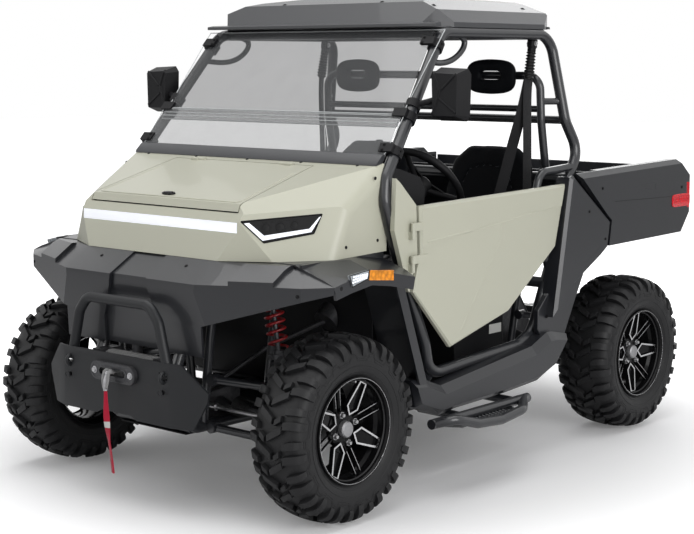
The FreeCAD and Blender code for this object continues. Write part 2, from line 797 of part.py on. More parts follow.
# Two-sheet windscreen in front of the pillars, with its clamps
screen_low_share = 0.666
screen_high_share = 0.9118
screen_lap_share = 0.7226
screen_overlap = 40.0
screen_edge_inset = 14.0
clamp_shares = [0.06, 0.33, 0.9]
clamp_length = 36.0
clamp_wall = 7.0
clamp_reach_ratio = 1.6


def pillar_line():
    points = places(cage_loop_shares)
    return points[1], points[2]


def screen_normal():
    low, high = pillar_line()
    run = high - low
    return V(0, -run.z, run.y).normalize()


def on_pillar(height):
    low, high = pillar_line()
    return low + (high - low) * ((height - low.z) / (high.z - low.z))


def screen_sheet_between(z_low, z_high, layer, grow=0.0):
    normal = screen_normal()
    corners = []
    for height in (z_low - grow, z_high + grow):
        point = on_pillar(height) + normal * (cage_tube + seat_gap + layer - grow)
        corners.append(point - V(screen_edge_inset - grow, 0, 0))
    low, high = corners
    outline = [low, high, V(-high.x, high.y, high.z), V(-low.x, low.y, low.z)]
    return face_of(outline).extrude(normal * (screen_sheet + 2 * grow))


def screen_sheets(grow=0.0):
    low, high = screen_low_share * roof_height, screen_high_share * roof_height
    lap = screen_lap_share * roof_height
    upper = screen_sheet_between(lap, high, 0, grow)
    lower = screen_sheet_between(low, lap + screen_overlap, screen_sheet + seat_gap, grow)
    return [upper, lower]


def screen_clamps():
    low, high = pillar_line()
    along = (high - low).normalize()
    tools = screen_sheets(seat_gap)
    clamps = []
    for share in clamp_shares:
        middle = on_pillar((screen_low_share + (screen_high_share - screen_low_share) * share) * roof_height)
        start, end = middle - along * (clamp_length / 2), middle + along * (clamp_length / 2)
        outer = cage_tube + seat_gap + clamp_wall
        collar = ring(start, end, outer, cage_tube + seat_gap)
        reach = cage_tube
        normal = screen_normal()
        corner = [start + normal * reach, end + normal * reach]
        inward = V(-clamp_reach_ratio * outer, 0, 0)
        outward = V(outer / 2, 0, 0)
        face = face_of([corner[0] + outward, corner[1] + outward, corner[1] + inward, corner[0] + inward])
        tab = face.extrude(normal * (2 * screen_sheet + 3 * seat_gap + clamp_wall))
        clamp = joined([collar, tab]).cut([left_seats[0]] + tools)
        clamps += pair(largest(clamp))
    return clamps


# Dashboard and steering gear
dash_shares = [
    (-0.3271, 0.6547), (-0.2917, 0.6499), (-0.2292, 0.6307), (-0.2125, 0.604), (-0.2188, 0.5559),
    (-0.2448, 0.5131), (-0.263, 0.4971), (-0.2995, 0.4971), (-0.3125, 0.5345), (-0.3333, 0.6387)]
dash_half_share = 0.8157
dash_wall = 16.0
wheel_centre_shares = [(0.4234, -0.013, 0.597)]
wheel_lean_shares = [(0.767, 0.642)]
steering_ring_radius = 172.0
steering_ring_tube = 15.0
steering_hub_radius = 40.0
steering_spoke_angles = [90, 210, 330]
steering_spoke_drop = 32.0
steering_spoke_radius = 12.0
column_radius = 24.0
column_foot = 60.0
steering_shaft_radius = 11.0
column_length = 300.0
column_start = 70.0
gear_box_shares = [(0.4234, -0.2917, 0.3528)]
rack_shares = [(0, -0.5531, 0.1881)]
rack_radius = 14.0
rack_housing_radius = 24.0
rack_housing_half = 166.0
lower_shaft_radius = 9.0
steering_joint_shares = [(0.1868, -0.3865, 0.2779)]


def wheel_axis():
    lean_y, lean_z = wheel_lean_shares[0]
    return V(0, lean_y, lean_z).normalize()


def dashboard():
    side = side_points(dash_shares)
    reach = dash_half_share * half_width
    solid = prism_x(side, -reach, reach)
    hollow = prism_x(side, -reach + dash_wall, reach - dash_wall, -dash_wall)
    centre, axis = places(wheel_centre_shares)[0], wheel_axis()
    passage = rod(centre, centre - axis * (2 * column_length), column_radius + seat_gap)
    open_front = moved(hollow, 0, -2 * dash_wall, -dash_wall)
    return [largest(solid.cut([hollow, open_front, passage] + loop_seats))]


def steering_column():
    centre, axis = places(wheel_centre_shares)[0], wheel_axis()
    top = centre - axis * column_start
    gear = places(gear_box_shares)[0]
    length = (centre.y - gear.y) / axis.y
    end = centre - axis * length
    bore = rod(centre, centre - axis * (column_start + column_length), steering_shaft_radius + seat_gap)
    column = rod(top, end, column_radius).cut(bore)
    motor = rod(end, end - axis * (3 * column_radius), 2 * column_radius)
    rack = places(rack_shares)[0]
    housing = ring(V(-rack_housing_half, rack.y, rack.z), V(rack_housing_half, rack.y, rack.z),
                   rack_housing_radius, rack_radius + seat_gap)
    pinion = V(rack_housing_half - 2 * rack_housing_radius, rack.y, rack.z + rack_housing_radius * 2)
    riser = rod(V(pinion.x, rack.y, rack.z), pinion, rack_housing_radius)
    riser = riser.cut(rod(V(-rack_housing_half, rack.y, rack.z), V(rack_housing_half, rack.y, rack.z),
                          rack_radius + seat_gap))
    foot = pinion - V(0, 0, rack_housing_radius / 2)
    line = [end - axis * column_foot, places(steering_joint_shares)[0], foot]
    shaft = tube(line, lower_shaft_radius, column_radius)
    return [joined([column, motor, housing, riser, shaft])]


def steering_wheel():
    centre, axis = places(wheel_centre_shares)[0], wheel_axis()
    rim = Part.makeTorus(steering_ring_radius, steering_ring_tube, centre, axis)
    hub_back = centre - axis * (steering_hub_radius + steering_hub_radius / 2)
    hub = rod(hub_back, centre - axis * steering_ring_tube, steering_hub_radius)
    shaft = rod(centre - axis * steering_ring_tube, centre - axis * (column_start + column_length - overrun),
                steering_shaft_radius)
    parts = [rim, hub, shaft]
    side = V(1, 0, 0)
    up = axis.cross(side)
    for angle in [math.radians(angle) for angle in steering_spoke_angles]:
        out = side * math.cos(angle) * steering_ring_radius - up * math.sin(angle) * steering_ring_radius
        parts.append(rod(centre - axis * steering_spoke_drop, centre + out, steering_spoke_radius))
    return [joined(parts)]


# Floor, skid plate, seats and belts
floor_share = 0.1721
floor_shares = [(0.6974, -0.2448), (0.6974, 0.2083)]
toe_board_shares = [(-0.2448, 0.1721), (-0.3125, 0.2779), (-0.3125, 0.4971)]
riser_shares = [
    (-0.0208, 0.1748), (-0.0312, 0.3207), (0.1562, 0.3207), (0.1562, 0.1748)]
riser_half_share = 0.7472
skid_shares = [
    (0.2217, -0.6198), (0.2466, -0.3646), (0.6725, -0.1979), (0.6725, 0.1406), (0.2466, 0.3229),
    (0.2466, 0.5781)]
seat_x_share = 0.411
seat_half_share = 0.2989
cushion_shares = [
    (-0.0573, 0.3501), (-0.0625, 0.3848), (-0.0443, 0.4105), (0, 0.4142), (0.1562, 0.3928),
    (0.1823, 0.3928), (0.1823, 0.3239), (-0.0469, 0.3239)]
back_shares = [
    (0.1833, 0.3902), (0.2354, 0.6494), (0.2448, 0.6681), (0.2562, 0.6585), (0.2531, 0.62),
    (0.2292, 0.4596), (0.2167, 0.3902)]
back_shoulder_shares = [
    (0.2889, 0.3239), (0.2889, 0.5559), (0.2553, 0.6307), (0.1494, 0.6692)]
headrest_shares = [(0.4583, 0.2271, 0.8231)]
headrest_size_shares = [(0.165, 0.024, 0.0425)]
belt_width = 48.0
belt_sheet = 3.0
belt_boot_radius = 24.0
belt_boot_neck = 14.4
belt_boot_length = 81.6
belt_tuck = 36.0
headrest_slot_low = 63.6
headrest_slot_height = 23.9
belt_shares = [
    (0.6924, 0.2099, 0.9035), (0.6227, 0.1797, 0.6494), (0.5666, 0.1224, 0.4596)]


def floor_panels():
    low = floor_share * roof_height
    top = low + floor_sheet
    floor = prism_z(both_sides(plan_points(floor_shares)), low, top)
    toe = side_points(toe_board_shares)
    reach = floor_shares[0][0] * half_width
    toe_solid = prism_x(toe + [(y + toe_thickness, z) for y, z in reversed(toe)], -reach, reach)
    front = side_points(riser_shares)
    riser_reach = riser_half_share * half_width
    riser = prism_x(front, -riser_reach, riser_reach)
    riser = riser.cut(prism_x(front, -riser_reach + floor_sheet, riser_reach - floor_sheet, -floor_sheet))
    skid_top = frame_low() - seat_gap
    skid = prism_z(both_sides(plan_points(skid_shares)), skid_top - floor_sheet, skid_top)
    body = joined([floor, toe_solid, riser]).cut(loop_seats + floor_tools())
    return [largest(body), skid]


def frame_low():
    return lower_rail_shares[1][2] * roof_height - rail_tube


def floor_tools():
    tools = []
    for shares in (lower_rail_shares, upper_rail_shares, rear_rail_shares):
        tools += pair(tube(places(shares), rail_tube + seat_gap, frame_bend))
    for shares in (perimeter_shares, cowl_stand_shares, middle_stand_shares):
        start, end = places(shares)
        tools += pair(rod(start, end, brace_tube + seat_gap))
    brace = places(sill_brace_shares)
    tools += pair(rod(brace[0], brace[1], brace_tube + seat_gap))
    tools += pair(rod(brace[2], brace[3], brace_tube + seat_gap))
    for point in places(lower_cross_shares):
        start, end = across(point)
        tools.append(rod(start, end, brace_tube + seat_gap))
    for shares in (cowl_cross_shares, seat_cross_shares):
        start, end = across(places(shares)[0])
        tools.append(rod(start, end, rail_tube + seat_gap))
    centre, axis = places(wheel_centre_shares)[0], wheel_axis()
    tools.append(rod(centre, centre - axis * (4 * column_length), 2 * column_radius + seat_gap))
    return tools


def seats():
    middle, half = seat_x_share * half_width, seat_half_share * half_width
    cushion = prism_x(side_points(cushion_shares), middle - half, middle + half)
    back = prism_x(side_points(back_shares), middle - half, middle + half)
    outline = front_points(back_shoulder_shares)
    outline += [(-x, z) for x, z in reversed(outline)]
    outline = [(x + middle, z) for x, z in outline]
    back = back.common(prism_y(outline, 0, wheelbase / 2))
    tools = [seat_cross_tool()]
    return pair(cushion.cut(tools)) + pair(back.cut(tools))


def seat_cross_tool():
    start, end = across(places(seat_cross_shares)[0])
    return rod(start, end, rail_tube + seat_gap)


def headrests():
    centre = places(headrest_shares)[0]
    x_share, y_share, z_share = headrest_size_shares[0]
    half_x, half_y, half_z = x_share * half_width, y_share * wheelbase / 2, z_share * roof_height
    hoop = places(seat_hoop_shares)[-1]
    front = hoop.y - brace_tube - seat_gap
    low, high = centre.z - half_z, centre.z + half_z
    pad = box(centre.x - half_x, centre.x + half_x, front - 2 * half_y, front, low, high)
    slot = box(centre.x - half_x / 2, centre.x + half_x / 2, front - 3 * half_y, front + half_y,
               high - headrest_slot_low, high - headrest_slot_low + headrest_slot_height)
    return pair(pad.cut(slot))


def strap_between(start, end, side, width, thickness):
    run = end - start
    flat = side.normalize()
    normal = run.cross(flat).normalize()
    half = flat * (width / 2)
    corners = [start - half, start + half, end + half, end - half]
    return face_of([corner - normal * (thickness / 2) for corner in corners]).extrude(normal * thickness)


def rear_header_seat():
    start, end = across(places(rear_header_shares)[0])
    return rod(start, end, cage_tube + seat_gap)


def seat_belts():
    top, shoulder, buckle = places(belt_shares)
    along = (shoulder - top).normalize()
    boot_end = top + along * belt_boot_length
    boot = Part.makeCone(belt_boot_neck, belt_boot_radius, belt_boot_length, top, along)
    boot = boot.cut(left_seats + [rear_header_seat()])
    start = boot_end - along * belt_tuck
    upper = strap_between(start, shoulder, V(1, 0, 0), belt_width, belt_sheet)
    belt = joined([upper, strap_between(shoulder, buckle, V(1, 0, 0), belt_width, belt_sheet)])
    return pair(joined([boot, belt]))


# Side mirrors on the pillars
mirror_shares = [
    (0.8717, 0.7483), (0.8643, 0.8338), (0.8867, 0.8461), (1.0411, 0.8434), (1.0585, 0.8327),
    (1.0535, 0.7504), (1.0361, 0.7418), (0.8892, 0.7418)]
mirror_back_share = -0.2042
mirror_front_share = -0.2354
mirror_taper = 19.8
mirror_arm_shares = [(0.7895, -0.238, 0.7712), (0.8717, -0.224, 0.7814)]
mirror_arm_radius = 11.0
mirror_collar_half = 16.5


def mirrors():
    outline = front_points(mirror_shares)
    back, front = mirror_back_share * wheelbase, mirror_front_share * wheelbase
    face = face_of([V(x, back, z) for x, z in outline])
    small = offset_face(face, -mirror_taper)
    small.translate(V(0, front - back, 0))
    head = Part.makeLoft([face.OuterWire, small.OuterWire], True, True)
    start, end = places(mirror_arm_shares)
    low, high = pillar_line()
    along = (high - low).normalize()
    half = along * mirror_collar_half
    collar = ring(start - half, start + half, cage_tube + seat_gap + clamp_wall, cage_tube + seat_gap)
    reach = end + (end - start).normalize() * (2 * mirror_arm_radius)
    arm = rod(start, reach, mirror_arm_radius).cut([left_seats[0]])
    arm = max(arm.Solids, key=lambda solid: solid.CenterOfMass.x)
    mirror = joined([head, collar, arm]).cut(screen_sheets(seat_gap))
    return pair(largest(mirror))


# Side steps
step_inner_shares = [(0.9714, -0.2724, 0.1486), (0.9714, 0.0505, 0.1486)]
step_outer_shares = [
    (0.9714, -0.263, 0.1486), (1.0585, -0.2448, 0.1603), (1.066, -0.175, 0.14),
    (1.066, -0.0964, 0.1336), (1.061, -0.0208, 0.1411), (0.9714, 0.0365, 0.1486)]
step_arm_shares = [
    (0.9714, -0.1719, 0.1464), (0.7123, -0.1719, 0.1486), (0.9714, 0.0104, 0.1464),
    (0.7123, 0.0104, 0.1486)]
tread_shares = [
    (0.9763, -0.237), (1.0535, -0.2188), (1.0535, -0.0312), (0.9763, -0.0104)]
tread_low_share = 0.1379


def side_step():
    start, end = places(step_inner_shares)
    inner = rod(start, end, step_tube)
    outer = tube(places(step_outer_shares), step_tube, step_bend)
    arms = places(step_arm_shares)
    parts = [inner, outer, rod(arms[0], arms[1], brace_tube), rod(arms[2], arms[3], brace_tube)]
    low = tread_low_share * roof_height
    tread = prism_z(plan_points(tread_shares), low, low + plate_sheet)
    parts.append(tread)
    perimeter = places(perimeter_shares)
    return largest(joined(parts).cut([rod(perimeter[0], perimeter[1], brace_tube + seat_gap)]))


# Front bumper with its guard, winch and strap
bumper_front_shares = [
    (0.4072, 0.3025), (0.533, 0.2512), (0.528, 0.2352), (0.4633, 0.1807), (0.137, 0.1807),
    (0.0996, 0.1881)]
bumper_plan_shares = [(0.3611, -0.7109), (0.5355, -0.6844)]
bumper_sheet = 8.0
tow_shares = [(0.3163, 0.2769)]
tow_slot = 42.0
tow_slot_height = 24.0
tow_ring_radius = 17.6
tow_ring_tube = 7.2
tow_ring_drop = 4.8
plate_hole_shares = [(0.3138, 0.2464)]
plate_hole_radius = 9.0
guard_shares = [
    (0.3263, -0.701, 0.2779), (0.2665, -0.701, 0.3741), (0.2092, -0.701, 0.4046)]
fairlead_share = 0.2672
fairlead_half = 120.0
plate_mouth_half = 84.0
fairlead_mouth_half = 72.0
fairlead_height = 34.0
fairlead_depth = 14.0
fairlead_mouth = 13.0
drum_radius = 48.0
drum_end_half = 57.6
drum_half = 165.0
winch_share = -0.6573


def bumper_strip():
    points = plan_points(bumper_plan_shares)
    depth = bumper_sheet
    back = [(x, y + depth) for x, y in reversed(points)]
    left = points + back
    outline = [(-x, y) for x, y in reversed(points)] + left + [(-x, y + depth) for x, y in points]
    return prism_z(outline, 0, roof_height)


def front_bumper():
    plate = bumper_strip().common(prism_y(both_sides(front_points(bumper_front_shares)), -wheelbase, 0))
    tow_x, tow_z = front_points(tow_shares)[0]
    hole_x, hole_z = front_points(plate_hole_shares)[0]
    fair_z = fairlead_share * roof_height
    slot = box(tow_x - tow_slot / 2, tow_x + tow_slot / 2, -wheelbase, 0, tow_z - tow_slot_height / 2,
               tow_z + tow_slot_height / 2)
    hole = rod(V(hole_x, -wheelbase, hole_z), V(hole_x, 0, hole_z), plate_hole_radius)
    low, high = fair_z - fairlead_mouth, fair_z + fairlead_mouth
    mouth = box(-plate_mouth_half, plate_mouth_half, -wheelbase, 0, low, high)
    plate = plate.cut([slot, mirrored(slot), hole, mirrored(hole), mouth])
    guard = places(guard_shares)
    guard += [V(-point.x, point.y, point.z) for point in reversed(guard)]
    hoop = tube(guard, guard_tube, guard_bend)
    hooks = tow_hook()
    tools = []
    for shares in (lower_rail_shares, upper_rail_shares):
        tools += pair(tube(places(shares), rail_tube + seat_gap, frame_bend))
    body = joined([plate, hoop] + pair(bumper_arm()) + hooks).cut(tools)
    return [largest(body)]


def bumper_arm():
    low = places(lower_rail_shares)[0]
    high = places(upper_rail_shares)[0]
    plate_y = bumper_plan_shares[0][1] * wheelbase + bumper_sheet / 2
    start, end = low.x - bumper_sheet / 2, low.x + bumper_sheet / 2
    return box(start, end, plate_y, low.y + rail_tube, low.z - rail_tube, high.z)


def tow_hook():
    tow_x, tow_z = front_points(tow_shares)[0]
    face = bumper_plan_shares[0][1] * wheelbase
    centre = V(tow_x, face + bumper_sheet / 2, tow_z - tow_ring_drop)
    hook = Part.makeTorus(tow_ring_radius, tow_ring_tube, centre, V(1, 0, 0))
    return pair(hook)


def winch():
    face = bumper_plan_shares[0][1] * wheelbase
    fair_z = fairlead_share * roof_height
    back = face - seat_gap
    lead = box(-fairlead_half + fairlead_height, fairlead_half - fairlead_height, back - fairlead_depth, back,
               fair_z - fairlead_height, fair_z + fairlead_height)
    ends = [rod(V(x, back - fairlead_depth, fair_z), V(x, back, fair_z), fairlead_height)
            for x in (-fairlead_half + fairlead_height, fairlead_half - fairlead_height)]
    mouth = box(-fairlead_mouth_half, fairlead_mouth_half, back - 2 * fairlead_depth, back + seat_gap,
                fair_z - fairlead_mouth, fair_z + fairlead_mouth)
    lead = joined([lead] + ends).cut(mouth)
    y = winch_share * wheelbase
    lower = places(lower_rail_shares)
    drum = rod(V(-drum_half, y, fair_z), V(drum_half, y, fair_z), drum_radius)
    half = drum_radius / 2
    low, high = fair_z - drum_end_half, fair_z + drum_end_half
    ends = []
    for x in (-drum_half, drum_half):
        ends.append(box(x - half, x + half, y - drum_radius, y + drum_radius, low, high))
    tools = []
    for shares in (lower_rail_shares, upper_rail_shares):
        tools += pair(tube(places(shares), rail_tube + seat_gap, frame_bend))
    base_z = fair_z - drum_end_half
    tray = box(-lower[0].x, lower[0].x, y - drum_radius, y + drum_radius, base_z - plate_sheet, base_z)
    body = joined([drum, tray] + ends).cut(tools)
    rope = rod(V(0, y, fair_z), V(0, back - fairlead_depth - eye_reach, fair_z), rope_radius)
    return [lead, joined([largest(body), rope, hook()])]


rope_radius = 4.0
eye_reach = 24.0
hook_shares = [(0, -0.7297, 0.2672), (0, -0.7349, 0.2533), (0, -0.7349, 0.2352)]
hook_radius = 9.0
hook_bend = 36.0
hook_eye_radius = 10.8


def hook():
    top, middle, low = places(hook_shares)
    shank = tube([top, middle, low], hook_radius, hook_bend)
    eye = Part.makeSphere(hook_eye_radius, top)
    return joined([shank, eye])


strap_shares = [
    (0, -0.7349, 0.2346), (0, -0.7349, 0.1881), (0, -0.7302, 0.1411), (0, -0.724, 0.1048),
    (0, -0.7208, 0.0716)]
strap_radius = 9.0
strap_bend_share = 0.45


def strap_route():
    points = places(strap_shares)
    low = places(hook_shares)[-1]
    points[0] = V(low.x, low.y, low.z)
    return points


def winch_strap():
    points = strap_route()
    edges = []
    start = points[0]
    for before, corner, after in zip(points, points[1:], points[2:]):
        arriving, leaving = (corner - before).normalize(), (after - corner).normalize()
        turn = arriving.getAngle(leaving)
        reach = strap_bend_share * min((corner - before).Length, (after - corner).Length)
        radius = reach / math.tan(turn / 2)
        first, last = corner - arriving * reach, corner + leaving * reach
        middle = corner + (leaving - arriving).normalize() * (radius * (1 / math.cos(turn / 2) - 1))
        edges.append(Part.LineSegment(start, first).toShape())
        edges.append(Part.Arc(first, middle, last).toShape())
        start = last
    edges.append(Part.LineSegment(start, points[-1]).toShape())
    path = Part.Wire(edges)
    circle = Part.Wire(Part.makeCircle(strap_radius, points[0], points[1] - points[0]))
    return [path.makePipeShell([circle], True, True)]


# Suspension: arms from the frame to the uprights, at all four corners
arm_low_shares = [(0.3001, 0, 0.155), (0.7049, 0, 0.1261)]
arm_high_shares = [(0.3238, 0, 0.2512), (0.6974, 0, 0.2341)]
arm_spread_low = 150.0
arm_spread_high = 165.0
arm_tube = 15.0
arm_ball = 20.0
shock_low_share = 0.5355
shock_top_shares = [(0.4122, 0, 0.45), (0.4122, 0, 0.4019)]
shock_offset = 46.0
shock_radius = 21.0
shock_rod_radius = 9.0
shock_body_share = 0.52
spring_radius = 38.0
spring_wall = 9.0
spring_turns = 7
spring_start_share = 0.5
spring_end_share = 0.9
spring_seat_share = 0.03


def corner_arms(axle_y, wheel_x):
    arms = []
    for shares, spread in ((arm_low_shares, arm_spread_low), (arm_high_shares, arm_spread_high)):
        inner, outer = places(shares)
        outer = V(wheel_x - kingpin_inset - 2 * arm_ball, axle_y, outer.z)
        front = V(inner.x, axle_y - spread, inner.z)
        back = V(inner.x, axle_y + spread, inner.z)
        parts = [rod(front, outer, arm_tube), rod(back, outer, arm_tube), Part.makeSphere(arm_ball, outer)]
        for pivot in (front, back):
            parts.append(rod(pivot - V(0, arm_ball, 0), pivot + V(0, arm_ball, 0), arm_ball))
        if shares is arm_low_shares:
            low = V(shock_low_share * half_width, axle_y, 0)
            share = (low.x - inner.x) / (outer.x - inner.x)
            height = inner.z + (outer.z - inner.z) * share
            half = max(spread * (1 - share), shock_offset + arm_tube)
            parts.append(rod(V(low.x, axle_y - half, height), V(low.x, axle_y + half, height), arm_tube))
        arms.append(joined(parts))
    return arms


def suspension_arms():
    tools = frame_tools()
    arms = []
    for axle_y, wheel_x in ((-half_base, front_wheel_x), (half_base, rear_wheel_x)):
        for arm in corner_arms(axle_y, wheel_x):
            arms += pair(largest(arm.cut(tools)))
    return arms


def frame_tools():
    tools = []
    for shares in (lower_rail_shares, upper_rail_shares, rear_rail_shares):
        tools += pair(tube(places(shares), rail_tube + seat_gap, frame_bend))
    for shares in (front_stand_shares, cowl_stand_shares, rear_stand_shares, middle_stand_shares):
        start, end = places(shares)
        tools += pair(rod(start, end, brace_tube + seat_gap))
    return tools


def shock_line(axle_y):
    inner, outer = places(arm_low_shares)
    top = places(shock_top_shares)[0 if axle_y < 0 else 1]
    low_x = shock_low_share * half_width
    share = (low_x - inner.x) / (outer.x - inner.x)
    low_z = inner.z + (outer.z - inner.z) * share
    y = axle_y + shock_offset
    return V(low_x, y, low_z), V(top.x, y, top.z)


def shocks():
    pieces = []
    for axle_y in (-half_base, half_base):
        low, top = shock_line(axle_y)
        along = (top - low).normalize()
        length = (top - low).Length
        start = low + along * (arm_tube + seat_gap)
        body = rod(low + along * (3 * arm_tube), low + along * (length * shock_body_share), shock_radius)
        shaft = rod(start, top, shock_rod_radius)
        seat_end = low + along * (length * spring_start_share)
        seat = rod(seat_end - along * (length * spring_seat_share), seat_end,
                   spring_radius)
        cap = rod(low + along * (length * spring_end_share), top, spring_radius)
        pieces += pair(joined([body, shaft, seat, cap]))
    return [largest(piece.cut(frame_tools())) for piece in pieces]


def springs():
    coils = []
    for axle_y in (-half_base, half_base):
        low, top = shock_line(axle_y)
        run = top - low
        length = run.Length * (spring_end_share - spring_start_share) - 2 * seat_gap
        start = low + run * spring_start_share + run.normalize() * seat_gap
        pitch = length / spring_turns
        outline = []
        for turn in range(spring_turns):
            outline.append(V(spring_radius - spring_wall / 2, 0, turn * pitch))
            outline.append(V(spring_radius + spring_wall / 2, 0, (turn + 0.5) * pitch))
        outline.append(V(spring_radius - spring_wall / 2, 0, length))
        inner = spring_radius - spring_wall
        profile = face_of([V(inner, 0, 0)] + outline + [V(inner, 0, length)])
        coil = profile.revolve(V(0, 0, 0), V(0, 0, 1), 360)
        coil.Placement = FreeCAD.Placement(start, FreeCAD.Rotation(V(0, 0, 1), run))
        coils += pair(coil)
    return coils


# Uprights: steered ones in front, fixed carriers behind
upright_half = 17.0
bearing_radius = 52.0
kingpin_low_share = 0.1336
kingpin_high_share = 0.2266
steer_arm_radius = 11.0
steer_eye_radius = 14.3
tie_rod_radius = 8.8
tie_end_radius = 13.2
steer_arm_back = 16.0
kingpin_radius = 12.0
kingpin_end = 8.0
front_split_share = -0.2917
rear_split_share = 0.2917


def upright(wheel_x, axle_y):
    pin_x = wheel_x - kingpin_inset
    low, high = kingpin_low_share * roof_height, kingpin_high_share * roof_height
    post = box(pin_x - upright_half, pin_x + upright_half, axle_y - upright_half, axle_y + upright_half, low, high)
    face = wheel_x - hub_setback
    centre = V(pin_x - upright_half, axle_y, tyre_radius)
    bearing = rod(centre, V(face - seat_gap, axle_y, tyre_radius), bearing_radius)
    spindle = rod(centre, V(face + spindle_length, axle_y, tyre_radius), spindle_radius)
    return [post, bearing, spindle]


def steer_eye():
    rack = places(rack_shares)[0]
    return V(kingpin_x - steer_arm_back, rack.y, rack.z)


def knuckle():
    parts = upright(front_wheel_x, -half_base)
    eye = steer_eye()
    arm_z = eye.z - 2 * steer_arm_radius - pin_gap
    low, high = kingpin_low_share * roof_height, kingpin_high_share * roof_height
    foot = V(kingpin_x, -half_base, low - kingpin_end)
    kingpin = rod(foot, V(kingpin_x, -half_base, high + kingpin_end), kingpin_radius)
    arm = rod(V(kingpin_x, -half_base, arm_z), V(eye.x, eye.y, arm_z), steer_arm_radius)
    end = rod(V(eye.x, eye.y, arm_z - steer_arm_radius), V(eye.x, eye.y, arm_z + steer_arm_radius),
              steer_eye_radius)
    return joined(parts + [kingpin, arm, end])


def tie_rods():
    eye = steer_eye()
    bar = rod(V(-eye.x, eye.y, eye.z), eye, tie_rod_radius)
    rack_end = V(rack_housing_half + overrun, eye.y, eye.z)
    rack = rod(V(-rack_end.x, eye.y, eye.z), rack_end, rack_radius)
    ends = pair(rod(V(eye.x, eye.y, eye.z - steer_arm_radius), V(eye.x, eye.y, eye.z + steer_arm_radius),
                    tie_end_radius))
    return [joined([bar, rack] + ends)]


# Drive shafts and rear carriers
shaft_radius = 13.0
boot_radius = 30.0
outer_boot_radius = 24.0
boot_length = 60.0
gearcase_half_share = 0.1494
front_gearcase_shares = [
    (-0.5365, 0.1416), (-0.5365, 0.2058), (-0.4688, 0.2138), (-0.4427, 0.2031), (-0.4427, 0.1416)]
motor_case_shares = [
    (0.3646, 0.1764), (0.3646, 0.2993), (0.3958, 0.3207), (0.4844, 0.3207), (0.5521, 0.2245),
    (0.5521, 0.1416), (0.3958, 0.1416)]
motor_half_share = 0.1519
battery_half_share = 0.6476
battery_shares = [
    (-0.0172, 0.1749), (-0.0271, 0.3175), (0.1526, 0.3175), (0.1526, 0.1749)]


def axles():
    pieces = []
    for axle_y, wheel_x, case in ((-half_base, front_wheel_x, gearcase_half_share * half_width),
                                  (half_base, rear_wheel_x, motor_half_share * half_width)):
        start = V(case + seat_gap, axle_y, tyre_radius)
        gap = 3 * run_gap if axle_y < 0 else seat_gap
        end = V(wheel_x - kingpin_inset - upright_half - gap, axle_y, tyre_radius)
        shaft = rod(start, end, shaft_radius)
        inner_boot = Part.makeCone(boot_radius, shaft_radius, boot_length, start, V(1, 0, 0))
        neck = end - V(boot_length, 0, 0)
        outer_boot = Part.makeCone(shaft_radius, outer_boot_radius, boot_length, neck, V(1, 0, 0))
        pieces.append(joined([shaft, inner_boot, outer_boot]))
    pieces.append(joined(upright(rear_wheel_x, half_base)))
    return [part for piece in pieces for part in pair(piece)]


def power_units():
    case = gearcase_half_share * half_width
    motor = motor_half_share * half_width
    battery = battery_half_share * half_width
    units = [prism_x(side_points(front_gearcase_shares), -case, case),
             prism_x(side_points(motor_case_shares), -motor, motor),
             prism_x(side_points(battery_shares), -battery, battery)]
    below = box(-half_width, half_width, -wheelbase, wheelbase, 0, frame_low())
    tools = floor_tools() + frame_cross_tools() + [below]
    return [largest(unit.cut(tools)) for unit in units]


def frame_cross_tools():
    tools = []
    for point in places(lower_cross_shares + rear_cross_shares + front_cross_shares):
        start, end = across(point)
        tools.append(rod(start, end, brace_tube + seat_gap))
    return tools


# Wheels, modelled about X and then placed, with each tyre one faceted form with staggered lugs
lug_count = 17
lug_shares = [(0.05, 0.0), (0.80, 0.0), (0.97, 0.16)]
groove_shares = [(0.05, 0.105), (0.80, 0.12), (0.93, 0.27)]
wall_shares = [(0.985, 0.36), (1.0, 0.58)]
spoke_count = 4
front_spoke_turn = -26.0
rear_spoke_turn = -3.0
spoke_setback = 22.0
spoke_depth = 20.0
spoke_band = 7.0
kite_shares = [(0.27, 0), (0.458, 0.398), (0.985, 0.105), (0.985, -0.105), (0.458, -0.398)]
thin_spoke_half = 3.0
thin_spoke_share = 0.075
disc_radius = 64.8
cap_radius = 30.0
cap_height = 14.0


def tread_point(across_x, radius, step, first):
    angle = math.pi * (step + first) / lug_count
    return V(across_x, radius * math.sin(angle), -radius * math.cos(angle))


def strip(line, step, first=0.0):
    faces = []
    for (x, r), (next_x, next_r) in zip(line, line[1:]):
        corners = [tread_point(x, r, step, first), tread_point(next_x, next_r, step, first),
                   tread_point(next_x, next_r, step + 1, first), tread_point(x, r, step + 1, first)]
        faces.append(face_of(corners))
    return faces


def tyre(width, rim_width):
    half, bead = width / 2, rim_width / 2
    spread = 1 / math.cos(math.pi / lug_count / 2)
    section = tyre_radius - rim_lip_radius
    bore = (bead - seat_gap, rim_radius * spread)
    lip = (bead - seat_gap, (rim_lip_radius + seat_gap) * spread)
    walls = [(half * x, tyre_radius - section * depth) for x, depth in wall_shares]
    lug = [(half * x, tyre_radius - section * depth) for x, depth in lug_shares]
    groove = [(half * x, tyre_radius - section * depth) for x, depth in groove_shares]
    faces = []
    for step in range(2 * lug_count):
        for side in (1, -1):
            raised = (step % 2 == 0) == (side > 0)
            line = [groove[0], lug[0]] + lug if raised else groove
            whole = [(side * x, r) for x, r in drop_repeats(line + walls + [lip, bore])]
            faces += strip(whole, step)
            wall = [tread_point(side * x, r, step, 0.0) for x, r in lug + walls[:1] + groove[::-1]]
            faces.append(face_of(wall))
        faces += strip([(-groove[0][0], groove[0][1]), groove[0]], step)
        faces += strip([(-bore[0], bore[1]), bore], step)
    return Part.Solid(Part.makeShell(faces))


